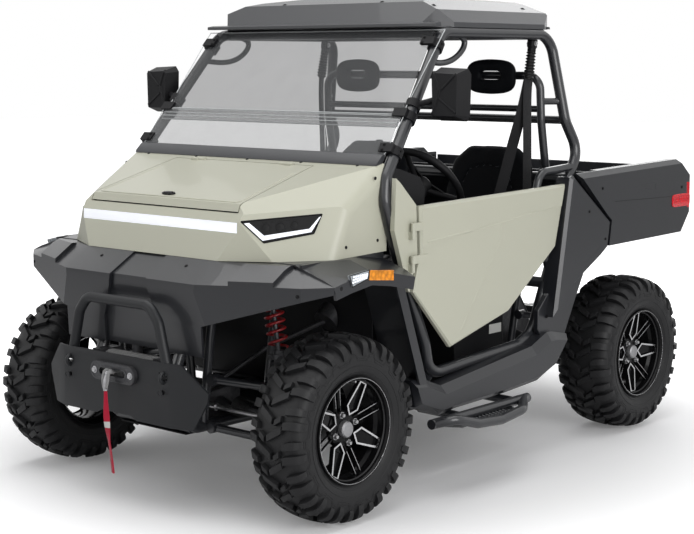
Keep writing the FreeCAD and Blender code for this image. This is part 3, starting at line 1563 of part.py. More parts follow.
def drop_repeats(points):
    return [point for index, point in enumerate(points) if index == 0 or point != points[index - 1]]


def kite(start, grow):
    points = []
    for reach, angle in kite_shares:
        radius = reach * rim_radius
        points.append(V(start, radius * math.sin(angle), radius * math.cos(angle)))
    return offset_face(face_of(points), grow)


def rim(rim_width, turn):
    bead = rim_width / 2
    seat = rim_radius - seat_gap
    inner = seat - rim_wall
    outer_line = [(-bead - rim_lip_width, rim_lip_radius), (-bead, rim_lip_radius), (-bead, seat)]
    outer_line += [(bead, seat), (bead, rim_lip_radius), (bead + rim_lip_width, rim_lip_radius)]
    inner_line = [(bead + rim_lip_width, inner), (-bead - rim_lip_width, inner)]
    barrel = face_of([V(x, 0, r) for x, r in outer_line + inner_line]).revolve(V(0, 0, 0), V(1, 0, 0), 360)
    face_x = bead - spoke_setback
    back_x = face_x - spoke_depth
    quarter = 360.0 / spoke_count
    spokes = []
    for index in range(spoke_count):
        outer = kite(back_x, 0).extrude(V(spoke_depth, 0, 0))
        hole = kite(back_x, -spoke_band).extrude(V(spoke_depth, 0, 0))
        spoke = outer.cut(hole)
        reach = thin_spoke_share * rim_radius
        thin = pair_about_z(box(back_x, face_x - spoke_band, reach - thin_spoke_half, reach + thin_spoke_half,
                                hub_radius / 2, rim_radius))
        turned(spoke, index * quarter + turn)
        for bar in thin:
            turned(bar, index * quarter + quarter / 2 + turn)
        spokes += [spoke] + thin
    hub = rod(V(-hub_setback, 0, 0), V(face_x, 0, 0), hub_radius)
    disc = rod(V(back_x, 0, 0), V(face_x, 0, 0), disc_radius)
    cap = rod(V(face_x, 0, 0), V(face_x + cap_height, 0, 0), cap_radius)
    bore_end = V(-hub_setback + spindle_length + seat_gap, 0, 0)
    bore = rod(V(-hub_setback, 0, 0), bore_end, spindle_radius + seat_gap)
    room = rod(V(-bead, 0, 0), V(bead, 0, 0), inner + rim_wall / 2)
    centre = joined(spokes + [hub, disc, cap]).common(room)
    return joined([barrel, centre]).cut(bore)


def turned(shape, angle):
    shape.rotate(V(0, 0, 0), V(1, 0, 0), angle)


def pair_about_z(shape):
    return [shape, shape.mirror(V(0, 0, 0), V(0, 1, 0))]


def placed_wheel(shape, x, y, side):
    copy = shape.copy()
    copy.translate(V(x, y, tyre_radius))
    return copy if side > 0 else mirrored(copy)


# Tilting bed, its beige sides, lamps and tailgate
bed_floor_share = 0.4425
bed_front_share = 0.3396
bed_rear_share = 0.725
bed_rail_shares = [
    (0.35, 0.4233), (0.35, 0.4425), (0.7214, 0.4425), (0.7214, 0.4276), (0.6719, 0.4233)]
bed_rail_x_share = 0.2839
bed_rail_half = 14.0
bed_top_share = 0.6104
bed_inner = 700.0
bed_sheet = 9.0
bed_side_shares = [
    (0.251, 0.6125), (0.6771, 0.6237), (0.7292, 0.5836), (0.7302, 0.4944), (0.6927, 0.4479),
    (0.376, 0.4425), (0.3833, 0.4992)]
bed_rail_top = 50.0
bed_section_shares = [
    (0.9166, 0.6414), (0.9465, 0.6414), (0.9465, 0.4971), (0.9078, 0.4393), (0.878, 0.4393),
    (0.9166, 0.4971)]
bed_top_facet_shares = [
    (0.9465, 0.251, 0.6007), (0.9191, 0.251, 0.6146), (0.9465, 0.7302, 0.6146)]
bed_side_wall = 24.0
bed_spear_share = 0.3375
gate_front_share = 0.7286
gate_rear_share = 0.7396
gate_low_share = 0.4468
gate_high_share = 0.6029
gate_half_share = 0.8593
gate_pin_radius = 6.0
gate_barrel_radius = 11.0
gate_barrel_length = 50.0
gate_barrel_share = 0.523
lamp_shares = [
    (0.7156, 0.5665), (0.7302, 0.5665), (0.7302, 0.5051), (0.7188, 0.5051)]
bed_reflector_shares = [(0.526, 0.573), (0.5708, 0.5719), (0.5698, 0.5591), (0.5271, 0.5601)]


def bed_tub():
    low = bed_floor_share * roof_height
    top = bed_top_share * roof_height
    front, rear = bed_front_share * wheelbase, bed_rear_share * wheelbase
    inner = bed_inner - seat_gap
    tub = box(-inner, inner, front, rear, low, top)
    room_x = inner - bed_sheet
    room = box(-room_x, room_x, front + bed_sheet, rear + overrun, low + bed_sheet, top + overrun)
    parts = [tub.cut(room)]
    middle = bed_rail_x_share * half_width
    rail = prism_x(side_points(bed_rail_shares), middle - bed_rail_half, middle + bed_rail_half)
    pivot = places(pivot_shares)[0]
    start, end = pivot.y - 2 * pivot_radius, pivot.y + 2 * pivot_radius
    ear = box(middle - bed_rail_half, middle + bed_rail_half, start, end, pivot.z - bed_ear_drop, low)
    bore = rod(V(0, pivot.y, pivot.z), V(half_width, pivot.y, pivot.z), pivot_radius + seat_gap)
    rail = joined([rail, ear]).cut(bore)
    parts += pair(rail)
    gate = gate_pin()
    for centre in gate_barrel_starts():
        start = V(centre - gate_barrel_length, gate.y, gate.z)
        parts.append(rod(start, V(centre - pin_gap, gate.y, gate.z), gate_barrel_radius))
        parts.append(rod(start, V(centre + gate_barrel_length, gate.y, gate.z), gate_pin_radius))
        low, high = gate.z - gate_barrel_radius / 2, gate_low_share * roof_height - run_gap
        parts.append(box(centre - gate_barrel_length, centre - pin_gap, rear - bed_sheet, gate.y, low, high))
    return [joined(parts)]


def gate_pin():
    return V(0, gate_front_share * wheelbase + gate_barrel_radius,
             gate_low_share * roof_height - gate_barrel_radius - pin_gap)


def gate_barrel_starts():
    reach = gate_barrel_share * half_width
    return (-reach, reach)


def bed_side():
    outline = side_points(bed_side_shares)
    rim_top = prism_x(outline, bed_inner, side_face)
    plate = rim_top.common(prism_y(front_points(bed_section_shares), 0, wheelbase))
    hollow = prism_x([(y, z - bed_rail_top) for y, z in outline], bed_inner, side_face - bed_side_wall)
    ahead = box(0, side_face - bed_side_wall, 0, bed_spear_share * wheelbase, 0, roof_height)
    whole = joined([plate, rim_top.cut([hollow, ahead])])
    tools = [part for part in side_lamps(seat_gap)] + [cage_loop(run_gap)]
    return largest(whole.cut(tools + [quarter_space(), beyond(places(bed_top_facet_shares))]))


def quarter_space():
    return prism_x(side_points(quarter_shares), 0, 2 * half_width, run_gap)


def side_lamps(grow=0.0):
    rear = prism_x(side_points(lamp_shares), side_face - 2 * bed_side_wall, side_face + grow, grow)
    start = side_face - marker_depth / 2
    reflector = prism_x(side_points(bed_reflector_shares), start, side_face + grow, grow)
    return [rear, reflector]


def tailgate():
    front, rear = gate_front_share * wheelbase, gate_rear_share * wheelbase
    low, high = gate_low_share * roof_height, gate_high_share * roof_height
    reach = gate_half_share * half_width
    panel = box(-reach, reach, front, rear, low, high)
    gate = gate_pin()
    parts = [panel]
    for centre in gate_barrel_starts():
        start = V(centre, gate.y, gate.z)
        parts.append(rod(start, V(centre + gate_barrel_length - pin_gap, gate.y, gate.z), gate_barrel_radius))
        end = centre + gate_barrel_length - pin_gap
        parts.append(box(centre, end, front, front + 2 * gate_barrel_radius, gate.z, low))
    whole = joined(parts)
    return [whole.cut([rod(V(start, gate.y, gate.z), V(start + 2 * gate_barrel_length, gate.y, gate.z),
                           gate_pin_radius + seat_gap) for start in gate_barrel_starts()])]


# Writing the nodes
front_tyre, rear_tyre = tyre(front_tyre_width, front_rim_width), tyre(rear_tyre_width, rear_rim_width)
front_rim, rear_rim = rim(front_rim_width, front_spoke_turn), rim(rear_rim_width, rear_spoke_turn)

whole_frame = frame()
write("front_frame", frame_part(whole_frame, -wheelbase, front_split_share * wheelbase))
write("frame", frame_part(whole_frame, front_split_share * wheelbase, rear_split_share * wheelbase))
write("rear_frame", frame_part(whole_frame, rear_split_share * wheelbase, wheelbase))
write("cage", cage())
write("roof", roof())
write("windscreen", screen_sheets())
write("screen_clamps", screen_clamps())
write("front_body", front_body())
write("hood_lid", hood_lid())
write("front_trunk", front_trunk())
write("front_lamps", front_lamps())
write("front_cladding", front_cladding())
write("cowl_panels", pair(cowl_panel()))
write("door_left", [door()])
write("door_right", [mirrored(door())])
write("side_cladding", side_cladding())
write("side_steps", pair(side_step()))
write("front_bumper", front_bumper())
write("winch", winch())
write("winch_strap", winch_strap())
write("dashboard", dashboard())
write("steering_column", steering_column())
write("steering_wheel", steering_wheel())
write("floor_panels", floor_panels())
write("seats", seats())
write("headrests", headrests())
write("seat_belts", seat_belts())
write("mirrors", mirrors())
write("power_units", power_units())
write("axles", axles())
write("suspension_arms", suspension_arms())
write("shocks", shocks())
write("springs", springs())
write("knuckle_left", [knuckle()])
write("knuckle_right", [mirrored(knuckle())])
write("tie_rods", tie_rods())
write("bed_tub", bed_tub())
write("bed_sides", pair(bed_side()))
write("tail_lamps", [lamp for part in side_lamps() for lamp in pair(part)])
write("tailgate", tailgate())
for name, x, y, tyre_shape, rim_shape in (("front", front_wheel_x, -half_base, front_tyre, front_rim),
                                          ("rear", rear_wheel_x, half_base, rear_tyre, rear_rim)):
    for side_name, side in (("left", 1), ("right", -1)):
        write("tyre_" + name + "_" + side_name, [placed_wheel(tyre_shape, x, y, side)])
        write("rim_" + name + "_" + side_name, [placed_wheel(rim_shape, x, y, side)])
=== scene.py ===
import json
import math
import random
import bpy
import bmesh
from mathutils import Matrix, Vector
from mathutils.bvhtree import BVHTree
from mathutils.kdtree import KDTree

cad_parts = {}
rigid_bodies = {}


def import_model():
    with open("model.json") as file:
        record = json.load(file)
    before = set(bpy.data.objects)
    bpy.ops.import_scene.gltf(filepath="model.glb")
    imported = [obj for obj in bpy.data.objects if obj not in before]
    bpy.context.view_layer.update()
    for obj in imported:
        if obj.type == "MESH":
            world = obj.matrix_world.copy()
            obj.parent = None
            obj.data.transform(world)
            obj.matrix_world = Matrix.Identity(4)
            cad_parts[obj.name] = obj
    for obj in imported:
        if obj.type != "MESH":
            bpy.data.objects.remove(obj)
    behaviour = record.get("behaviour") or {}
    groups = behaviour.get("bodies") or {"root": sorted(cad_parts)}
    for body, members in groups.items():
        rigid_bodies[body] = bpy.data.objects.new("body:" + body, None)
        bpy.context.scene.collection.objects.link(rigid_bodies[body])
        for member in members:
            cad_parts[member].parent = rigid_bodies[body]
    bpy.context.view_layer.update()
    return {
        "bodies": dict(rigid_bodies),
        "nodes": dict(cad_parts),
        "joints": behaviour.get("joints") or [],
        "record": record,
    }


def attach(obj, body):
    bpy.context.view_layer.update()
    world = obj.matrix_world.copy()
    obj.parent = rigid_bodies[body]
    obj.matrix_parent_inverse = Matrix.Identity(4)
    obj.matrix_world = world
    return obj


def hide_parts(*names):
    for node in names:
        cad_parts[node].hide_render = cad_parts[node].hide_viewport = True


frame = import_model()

nodes = frame["nodes"]
scene = bpy.context.scene
random.seed(11)

# camera at the photograph's place, for a picture 694 wide
photoCamera = {
    "place": (4.22417474, -4.94415869, 1.61169008),
    "azimuth": 0.717172862,
    "elevation": 0.132836053,
    "focalPixels": 1554.24,
    "imageWidth": 694,
    "sensor": 36.0,
}


def makeCamera(c=photoCamera):
    data = bpy.data.cameras.new("photoCamera")
    data.sensor_width = c["sensor"]
    data.lens = c["focalPixels"] * c["sensor"] / c["imageWidth"]
    data.clip_end = 60
    camera = bpy.data.objects.new("photoCamera", data)
    scene.collection.objects.link(camera)
    flat = math.cos(c["elevation"])
    ahead = Vector((-math.sin(c["azimuth"]) * flat, math.cos(c["azimuth"]) * flat, -math.sin(c["elevation"])))
    camera.location = c["place"]
    camera.rotation_euler = ahead.to_track_quat("-Z", "Y").to_euler()
    scene.camera = camera


makeCamera()
scene.view_settings.view_transform = "Standard"


class Wire:  # an output socket that takes part in sums
    def __init__(self, finish, socket):
        self.finish, self.socket = finish, socket

    def join(self, operation, other, swapped=False):
        pair = (other, self) if swapped else (self, other)
        return self.finish.node("ShaderNodeMath", {"operation": operation}, {0: pair[0], 1: pair[1]})

    def __add__(self, other):
        return self.join("ADD", other)

    def __radd__(self, other):
        return self.join("ADD", other, True)

    def __sub__(self, other):
        return self.join("SUBTRACT", other)

    def __rsub__(self, other):
        return self.join("SUBTRACT", other, True)

    def __mul__(self, other):
        return self.join("MULTIPLY", other)

    def __rmul__(self, other):
        return self.join("MULTIPLY", other, True)


class Finish:  # one material and the few ways its nodes are made
    def __init__(self, name, **fixed):
        self.material = bpy.data.materials.new(name)
        self.material.use_nodes = True
        self.tree = self.material.node_tree
        self.surface = next(n for n in self.tree.nodes if n.type == "BSDF_PRINCIPLED")
        for key, value in fixed.items():
            self.surface.inputs[key.replace("_", " ")].default_value = value

    def node(self, kind, settings=None, sockets=None, out=0):
        made = self.tree.nodes.new(kind)
        for key, value in (settings or {}).items():
            if key == "stops":
                for place, level in value:
                    stop = made.color_ramp.elements.new(place)
                    stop.color = (level, level, level, 1)
                made.color_ramp.elements.remove(made.color_ramp.elements[0])
                made.color_ramp.elements.remove(made.color_ramp.elements[-1])
            else:
                setattr(made, key, value)
        for key, value in (sockets or {}).items():
            self.feed(made.inputs[key], value)
        return Wire(self, made.outputs[out])

    def feed(self, socket, value):
        if isinstance(value, Wire):
            self.tree.links.new(value.socket, socket)
        else:
            socket.default_value = value

    def place(self):
        return self.node("ShaderNodeTexCoord", out="Object")

    def noise(self, scale, detail=2.0, roughness=0.5):
        return self.node("ShaderNodeTexNoise", {}, {"Vector": self.place(), "Scale": scale, "Detail": detail,
                                                    "Roughness": roughness})

    def mix(self, factor, first, second):
        return self.node("ShaderNodeMix", {"data_type": "RGBA"}, {0: factor, 6: first, 7: second}, 2)

    def bump(self, height, distance):
        made = self.node("ShaderNodeBump", {}, {"Height": height, "Distance": distance, "Strength": 1.0})
        self.feed(self.surface.inputs["Normal"], made)

    def set(self, name, value):
        self.feed(self.surface.inputs[name], value)


def shade(colour, level):
    return (colour[0] * level, colour[1] * level, colour[2] * level, 1)


def plastic(name, colour, roughness, grain=900.0, depth=0.00012, spread=0.07, drift=5.0, coat=0.0, metallic=0.0,
            specular=0.5):
    made = Finish(name, Coat_Weight=coat, Metallic=metallic, Specular_IOR_Level=specular)
    cloud = made.noise(drift, 4.0)
    fine = made.noise(grain, 2.0)
    made.set("Base Color", made.mix(cloud, shade(colour, 1 - spread), shade(colour, 1 + spread)))
    made.set("Roughness", roughness - 0.06 + 0.08 * fine + 0.05 * cloud)
    made.bump(fine, depth)
    return made


def scuffed(name, colour, bare, roughness, metallic, scale=60.0):
    made = Finish(name, Metallic=metallic)
    cloud = made.noise(scale, 5.0, 0.65)
    streak = made.node("ShaderNodeTexNoise", {}, {
        "Vector": made.node("ShaderNodeMapping", {}, {"Vector": made.place(), "Scale": (1, 1, 0.06)}),
        "Scale": 900.0, "Detail": 2.0})
    worn = made.node("ShaderNodeValToRGB", {"stops": ((0.42, 0.0), (0.72, 1.0))}, {0: cloud})
    made.set("Base Color", made.mix(worn * 0.5, shade(colour, 1.0), shade(bare, 1.0)))
    made.set("Roughness", roughness + 0.12 * (streak - 0.5) - 0.08 * (cloud - 0.5))
    made.bump(streak, 0.00006)
    return made


def weave(name, colour, across, along, depth, roughness=0.85):
    made = Finish(name, Sheen_Weight=0.25, Specular_IOR_Level=0.25)
    warp, weft = (made.node("ShaderNodeTexWave", {"bands_direction": axis},
                            {"Vector": made.place(), "Scale": scale, "Distortion": 0.6, "Detail": 1.0})
                  for axis, scale in (("X", across), ("Z", along)))
    threads = warp * weft
    cloud = made.noise(25.0, 4.0)
    made.set("Base Color", made.mix(threads * 0.6 + cloud * 0.4, shade(colour, 0.6), shade(colour, 1.3)))
    made.set("Roughness", roughness - 0.1 * threads)
    made.bump(threads, depth)
    return made


def hide(name, colour, roughness):  # grained vinyl
    made = Finish(name, Sheen_Weight=0.0, Specular_IOR_Level=0.09)
    cells = made.node("ShaderNodeTexVoronoi", {"feature": "DISTANCE_TO_EDGE"},
                      {"Vector": made.place(), "Scale": 420.0}, "Distance")
    cloud = made.noise(7.0, 3.0)
    crease = made.node("ShaderNodeValToRGB", {"stops": ((0.0, 0.0), (0.14, 1.0))}, {0: cells})
    # the creases between the grain's cells are painted darker: painted shade in the grain
    made.set("Base Color", made.mix(crease * 0.7 + cloud * 0.3, shade(colour, 0.62), shade(colour, 1.16)))
    made.set("Roughness", roughness + 0.12 * (1 - crease) + 0.08 * cloud)
    made.bump(crease * 0.7 + made.noise(60.0, 2.0) * 0.5, 0.0003)
    return made


def clear(name, colour, alpha, roughness=0.06):
    made = Finish(name, Specular_IOR_Level=0.3, IOR=1.49)
    haze = made.noise(14.0, 3.0)
    made.set("Base Color", made.mix(haze, shade(colour, 0.92), shade(colour, 1.08)))
    made.set("Roughness", roughness + 0.03 * haze)
    made.set("Alpha", alpha - 0.02 + 0.04 * haze)
    return made


def glow(name, colour, strength, cell=None):
    made = Finish(name, Roughness=0.2, Emission_Strength=strength)
    if cell:
        spots = made.node("ShaderNodeTexVoronoi", {"feature": "F1"}, {"Vector": made.place(), "Scale": cell},
                          "Distance")
        light = made.mix(spots, shade(colour, 1.0), shade(colour, 0.35))
    else:
        light = made.mix(made.noise(30.0, 1.0), shade(colour, 0.94), shade(colour, 1.0))
    made.set("Base Color", light)
    made.set("Emission Color", light)
    return made


def rubber(name, colour, roughness, dust):
    made = Finish(name, Specular_IOR_Level=0.3)
    cloud = made.noise(9.0, 5.0, 0.6)
    fine = made.noise(700.0, 2.0)
    made.set("Base Color", made.mix(cloud, shade(colour, 0.8), (*dust, 1)))
    made.set("Roughness", roughness + 0.1 * fine - 0.08 * cloud)
    made.bump(fine + cloud * 0.5, 0.00025)
    return made


finishes = {name: maker(name, *settings) for name, maker, *settings in (
    ("sagePaint", plastic, (0.475, 0.475, 0.388), 0.36, 700.0, 0.00004, 0.02, 2.0, 0.15, 0.0, 0.35),
    ("charcoal", plastic, (0.0095, 0.0103, 0.013), 0.36, 1100.0, 0.00012, 0.06, 3.0, 0.3, 0.0, 0.5),
    ("roofBlack", plastic, (0.026, 0.0272, 0.031), 0.42, 1100.0, 0.00012, 0.06, 3.0, 0.2),
    ("powder", plastic, (0.016, 0.017, 0.02), 0.3, 1500.0, 0.00008, 0.08, 12.0, 0.35),
    ("plateSteel", plastic, (0.0105, 0.0113, 0.013), 0.44, 1500.0, 0.0001, 0.08, 6.0, 0.0, 0.0, 0.3),
    ("matBlack", plastic, (0.005, 0.005, 0.006), 0.52, 1000.0, 0.00015, 0.1, 8.0, 0.0, 0.0, 0.2),
    ("deepBlack", plastic, (0.004, 0.004, 0.0045), 0.48, 900.0, 0.0001, 0.1, 8.0, 0.0, 0.0, 0.2),
    ("glossBlack", plastic, (0.005, 0.005, 0.0055), 0.18, 500.0, 0.00001, 0.1, 20.0, 0.04, 0.0, 0.12),
    ("machined", scuffed, (0.62, 0.62, 0.63), (0.8, 0.8, 0.8), 0.26, 1.0),
    ("castAlloy", scuffed, (0.33, 0.33, 0.34), (0.42, 0.42, 0.43), 0.48, 0.9, 90.0),
    ("zinc", scuffed, (0.45, 0.45, 0.46), (0.6, 0.6, 0.6), 0.32, 1.0),
    ("darkSteel", scuffed, (0.05, 0.05, 0.055), (0.12, 0.12, 0.12), 0.42, 0.6),
    ("tyreRubber", rubber, (0.006, 0.0062, 0.007), 0.5, (0.013, 0.013, 0.014)),
    ("sealRubber", rubber, (0.007, 0.007, 0.0075), 0.5, (0.011, 0.011, 0.011)),
    ("vinyl", hide, (0.0035, 0.004, 0.0055), 0.5),
    ("webbing", weave, (0.012, 0.012, 0.0135), 260.0, 260.0, 0.0003),
    ("redStrap", weave, (0.44, 0.003, 0.03), 300.0, 300.0, 0.0003),
    ("rope", weave, (0.3, 0.3, 0.3), 200.0, 120.0, 0.0006),
    ("redSpring", plastic, (0.27, 0.008, 0.01), 0.32, 600.0, 0.00003, 0.08, 15.0, 0.3),
    ("tintedScreen", clear, (0.1, 0.103, 0.107), 0.39),
    ("clearScreen", clear, (0.2, 0.205, 0.21), 0.38),
    # pale half-clear finish of the screens' edge rods: a painted highlight
    ("screenEdge", clear, (0.7, 0.72, 0.73), 0.6),
    ("whiteLight", glow, (0.86, 0.88, 0.93), 0.42),
    ("whiteCells", glow, (0.42, 0.45, 0.48), 0.2, 160.0),
    ("amberLens", glow, (0.85, 0.3, 0.015), 0.28, 60.0),
    # glowing red lamp finish; also put on the buckle buttons and gauge needles, where its glow is painted light
    ("redLens", glow, (0.78, 0.0, 0.012), 0.2, 160.0),
    ("mirrorGlass", plastic, (0.75, 0.77, 0.8), 0.08, 400.0, 0.000005, 0.02, 4.0, 0.0, 1.0),
    ("thread", plastic, (0.09, 0.095, 0.11), 0.7, 900.0, 0.0001),
    ("label", plastic, (0.5, 0.5, 0.48), 0.5, 400.0, 0.00003),
)}
print("finishes ready:", len(finishes))


def addPiece(name, mesh, finish, body, smooth=30, replaced=()):
    for each in (finish if isinstance(finish, (list, tuple)) else [finish]):
        mesh.materials.append(finishes[each].material)
    if smooth:
        mesh.shade_smooth()
        mesh.set_sharp_from_angle(angle=math.radians(smooth))
    piece = bpy.data.objects.new(name, mesh)
    scene.collection.objects.link(piece)
    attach(piece, body)
    if replaced:
        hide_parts(*replaced)
    return piece


def bevelled(piece, width, segments=2, angle=35):
    edge = piece.modifiers.new("edge", "BEVEL")
    edge.width = width
    edge.segments = segments
    edge.limit_method = "ANGLE"
    edge.angle_limit = math.radians(angle)
    edge.harden_normals = True
    return piece


# what each carried-over node is finished with: finish, edge radius in metres
dressing = {
    "frame": ("powder", 0), "front_frame": ("powder", 0), "rear_frame": ("powder", 0), "cage": ("powder", 0),
    "roof": ("roofBlack", 0.006), "windscreen": ("tintedScreen", 0),
    "screen_clamps": ("matBlack", 0.0012), "front_body": ("sagePaint", 0.006), "hood_lid": ("sagePaint", 0.004),
    "front_trunk": ("matBlack", 0.003), "front_lamps": ("deepBlack", 0), "front_cladding": ("charcoal", 0.004),
    "cowl_panels": ("sagePaint", 0.005), "door_left": ("sagePaint", 0.004), "door_right": ("sagePaint", 0.004),
    "side_cladding": ("charcoal", 0.005), "side_steps": ("powder", 0), "front_bumper": ("plateSteel", 0.002),
    "winch": ("darkSteel", 0.0015), "dashboard": ("matBlack", 0.006), "steering_column": ("darkSteel", 0),
    "steering_wheel": ("matBlack", 0), "floor_panels": ("matBlack", 0.002), "headrests": ("vinyl", 0.006),
    "seat_belts": ("webbing", 0), "mirrors": ("matBlack", 0.014), "power_units": ("castAlloy", 0.006),
    "axles": ("darkSteel", 0), "suspension_arms": ("powder", 0), "shocks": ("darkSteel", 0),
    "springs": ("redSpring", 0), "knuckle_left": ("castAlloy", 0.0015), "knuckle_right": ("castAlloy", 0.0015),
    "tie_rods": ("zinc", 0), "bed_tub": ("charcoal", 0.003), "bed_sides": ("charcoal", 0.005),
    "tail_lamps": ("redLens", 0.001), "tailgate": ("charcoal", 0.003), "winch_strap": ("redStrap", 0),
    "seats": ("vinyl", 0.01),
}
for corner in ("front_left", "front_right", "rear_left", "rear_right"):
    dressing["tyre_" + corner] = ("tyreRubber", 0)
    dressing["rim_" + corner] = ("glossBlack", 0.001)


# nodes whose pressed creases are shallow, and the angle in degrees from which a fold is rounded there
foldAngles = {"door_left": 5, "door_right": 5, "side_cladding": 6, "bed_sides": 6, "cowl_panels": 6, "tailgate": 6,
              "roof": 6, "front_body": 16, "hood_lid": 16, "front_cladding": 14}
dressed = {
    "weld": 0.00001,
    "flatWithin": 0.8,
    "foldAngle": 35,
    "splitAngle": 38,
}


def dress(d=dressed):
    for name, (finish, edge) in dressing.items():
        node = nodes[name]
        mesh = node.data
        mesh.materials.clear()
        mesh.materials.append(finishes[finish].material)
        if "custom_normal" in mesh.attributes:
            mesh.attributes.remove(mesh.attributes["custom_normal"])
        mesh.shade_smooth()
        weld = node.modifiers.new("weld", "WELD")
        weld.merge_threshold = d["weld"]
        if edge:
            plain = node.modifiers.new("plain", "DECIMATE")
            plain.decimate_type = "DISSOLVE"
            plain.angle_limit = math.radians(d["flatWithin"])
            bevelled(node, edge, 2, foldAngles.get(name, d["foldAngle"]))
        else:
            split = node.modifiers.new("split", "EDGE_SPLIT")
            split.split_angle = math.radians(d["splitAngle"])


dress()
print("carried nodes dressed")


def turns(count):  # angles spread all the way round
    return [2 * math.pi * k / count for k in range(count)]


def bent(value, power):  # a sine or cosine bent so that a round outline comes closer to a box
    return math.copysign(abs(value) ** power, value)


def circle(place, up, side, radius, steps, flat=1.0):
    return [place + up * math.cos(a) * radius + side * math.sin(a) * radius * flat for a in turns(steps)]


def aheadAt(path, i):  # the way a path goes at one of its points
    return (path[min(i + 1, len(path) - 1)] - path[max(i - 1, 0)]).normalized()


def facing(pairs, y, place=(0, 0, 0)):  # x and z pairs stood up at a y, measured from a place
    return [Vector(place) + Vector((x, y, z)) for x, z in pairs]


def sideways(pairs, x, place=(0, 0, 0)):  # the same for y and z pairs at an x
    return [Vector(place) + Vector((x, y, z)) for y, z in pairs]


def scaledRings(outline, centre, axis, levels):  # levels: scale about the centre, lift along the axis
    return [[centre + (p - centre) * scale + Vector(axis) * lift for p in outline] for scale, lift in levels]


class Build:  # collects points and faces, with a finish number for each face
    def __init__(self):
        self.points, self.faces, self.finish = [], [], []

    def add(self, points, faces, finish=0):
        start = len(self.points)
        self.points += [Vector(p) for p in points]
        self.faces += [[start + i for i in face] for face in faces]
        self.finish += [finish] * len(faces)

    def loft(self, rings, finish=0, closed=True, caps=True):
        count = len(rings[0])
        points = [p for ring in rings for p in ring]
        faces = []
        for r in range(len(rings) - 1):
            for i in range(count if closed else count - 1):
                a, b = r * count + i, r * count + (i + 1) % count
                faces.append((a, b, b + count, a + count))
        if caps:
            faces.append(tuple(reversed(range(count))))
            faces.append(tuple(range(len(points) - count, len(points))))
        self.add(points, faces, finish)

    def turned(self, section, place, axis, up, steps=48, finish=0, looped=True):
        # section: (along the axis, radius); a closed outline unless looped is False
        axis, up = Vector(axis).normalized(), Vector(up).normalized()
        side = axis.cross(up)
        rings = []
        for turn in turns(steps):
            out = up * math.cos(turn) + side * math.sin(turn)
            rings.append([Vector(place) + axis * a + out * r for a, r in section])
        self.wrap(rings, finish, looped)

    def wrap(self, rings, finish=0, looped=True):  # the last ring joins the first
        count, steps = len(rings[0]), len(rings)
        faces = []
        for k in range(steps):
            n = (k + 1) % steps
            for i in range(count if looped else count - 1):
                j = (i + 1) % count
                faces.append((k * count + i, n * count + i, n * count + j, k * count + j))
        self.add([p for ring in rings for p in ring], faces, finish)

    def rod(self, start, end, radius, finish=0, steps=16, radiusEnd=None):
        start, end = Vector(start), Vector(end)
        axis = (end - start).normalized()
        up = axis.orthogonal().normalized()
        side = axis.cross(up)
        self.loft([circle(place, up, side, r, steps) for place, r in
                   ((start, radius), (end, radius if radiusEnd is None else radiusEnd))], finish)

    def pipe(self, path, radius, finish=0, steps=12, up=None, flat=1.0):
        # a round or flattened section carried along a path of many points
        path = [Vector(p) for p in path]
        rings = []
        frameUp = Vector(up) if up else None
        for i, p in enumerate(path):
            ahead = aheadAt(path, i)
            if frameUp is None:
                frameUp = ahead.orthogonal()
            frameUp = (frameUp - ahead * frameUp.dot(ahead)).normalized()
            rings.append(circle(p, frameUp, ahead.cross(frameUp), radius, steps, flat))
        self.loft(rings, finish)

    def slab(self, outline, depth, finish=0):
        # outline: points of one face in order; depth: the vector to the other face
        low = [Vector(p) for p in outline]
        high = [p + Vector(depth) for p in low]
        self.loft([low, high], finish)

    def block(self, low, high, finish=0):
        x0, y0, z0 = low
        x1, y1, z1 = high
        self.slab([(x0, y0, z0), (x1, y0, z0), (x1, y1, z0), (x0, y1, z0)], (0, 0, z1 - z0), finish)

    def mirror(self):  # adds the same on the other side of the middle plane
        start = len(self.points)
        self.points += [Vector((-p.x, p.y, p.z)) for p in self.points]
        self.faces += [[start + i for i in reversed(face)] for face in self.faces]
        self.finish += self.finish

    def mesh(self, name):
        mesh = bpy.data.meshes.new(name)
        mesh.from_pydata([tuple(p) for p in self.points], [], self.faces)
        mesh.polygons.foreach_set("material_index", self.finish)
        work = bmesh.new()
        work.from_mesh(mesh)
        bmesh.ops.recalc_face_normals(work, faces=work.faces)
        work.to_mesh(mesh)
        work.free()
        return mesh

    def piece(self, name, finish, body, slot=None, smooth=30, replaced=()):
        return addPiece(name, self.mesh(name), finish, body, smooth, replaced)


def splined(points, steps):  # a smooth line through the points, any number of values each
    out = []
    for i in range(len(points) - 1):
        a, b = points[i], points[i + 1]
        before = points[i - 1] if i else [2 * p - q for p, q in zip(a, b)]
        after = points[i + 2] if i + 2 < len(points) else [2 * q - p for p, q in zip(a, b)]
        for k in range(steps):
            t = k / steps
            out.append(tuple(0.5 * (2 * q + (r - p) * t + (2 * p - 5 * q + 4 * r - s) * t * t
                                    + (3 * q - p - 3 * r + s) * t ** 3)
                             for p, q, r, s in zip(before, a, b, after)))
    out.append(tuple(points[-1]))
    return out


def screwAt(build, place, normal, radius=0.006, finish=0, height=0.003):  # a head that narrows, on its washer
    place, normal = Vector(place), Vector(normal).normalized()
    build.rod(place - normal * 0.001, place + normal * height * 0.35, radius, finish, 20)
    build.rod(place, place + normal * height, radius * 0.72, finish, 12, radius * 0.5)


def boltAt(build, place, normal, radius=0.008, finish=0):  # a six-sided head on its washer
    place, normal = Vector(place), Vector(normal).normalized()
    build.rod(place - normal * 0.0008, place + normal * 0.0014, radius * 1.35, finish, 20)
    build.rod(place + normal * 0.001, place + normal * radius * 0.75, radius, finish, 6, radius * 0.96)


def paintParts(name, kinds):
    # kinds: finish names; returns what sets a finish on the faces that pass a test
    mesh = nodes[name].data
    mesh.materials.clear()
    for kind in kinds:
        mesh.materials.append(finishes[kind].material)
    world = nodes[name].matrix_world

    def give(index, test):
        for face in mesh.polygons:
            if test(world @ face.center):
                face.material_index = index
    return give


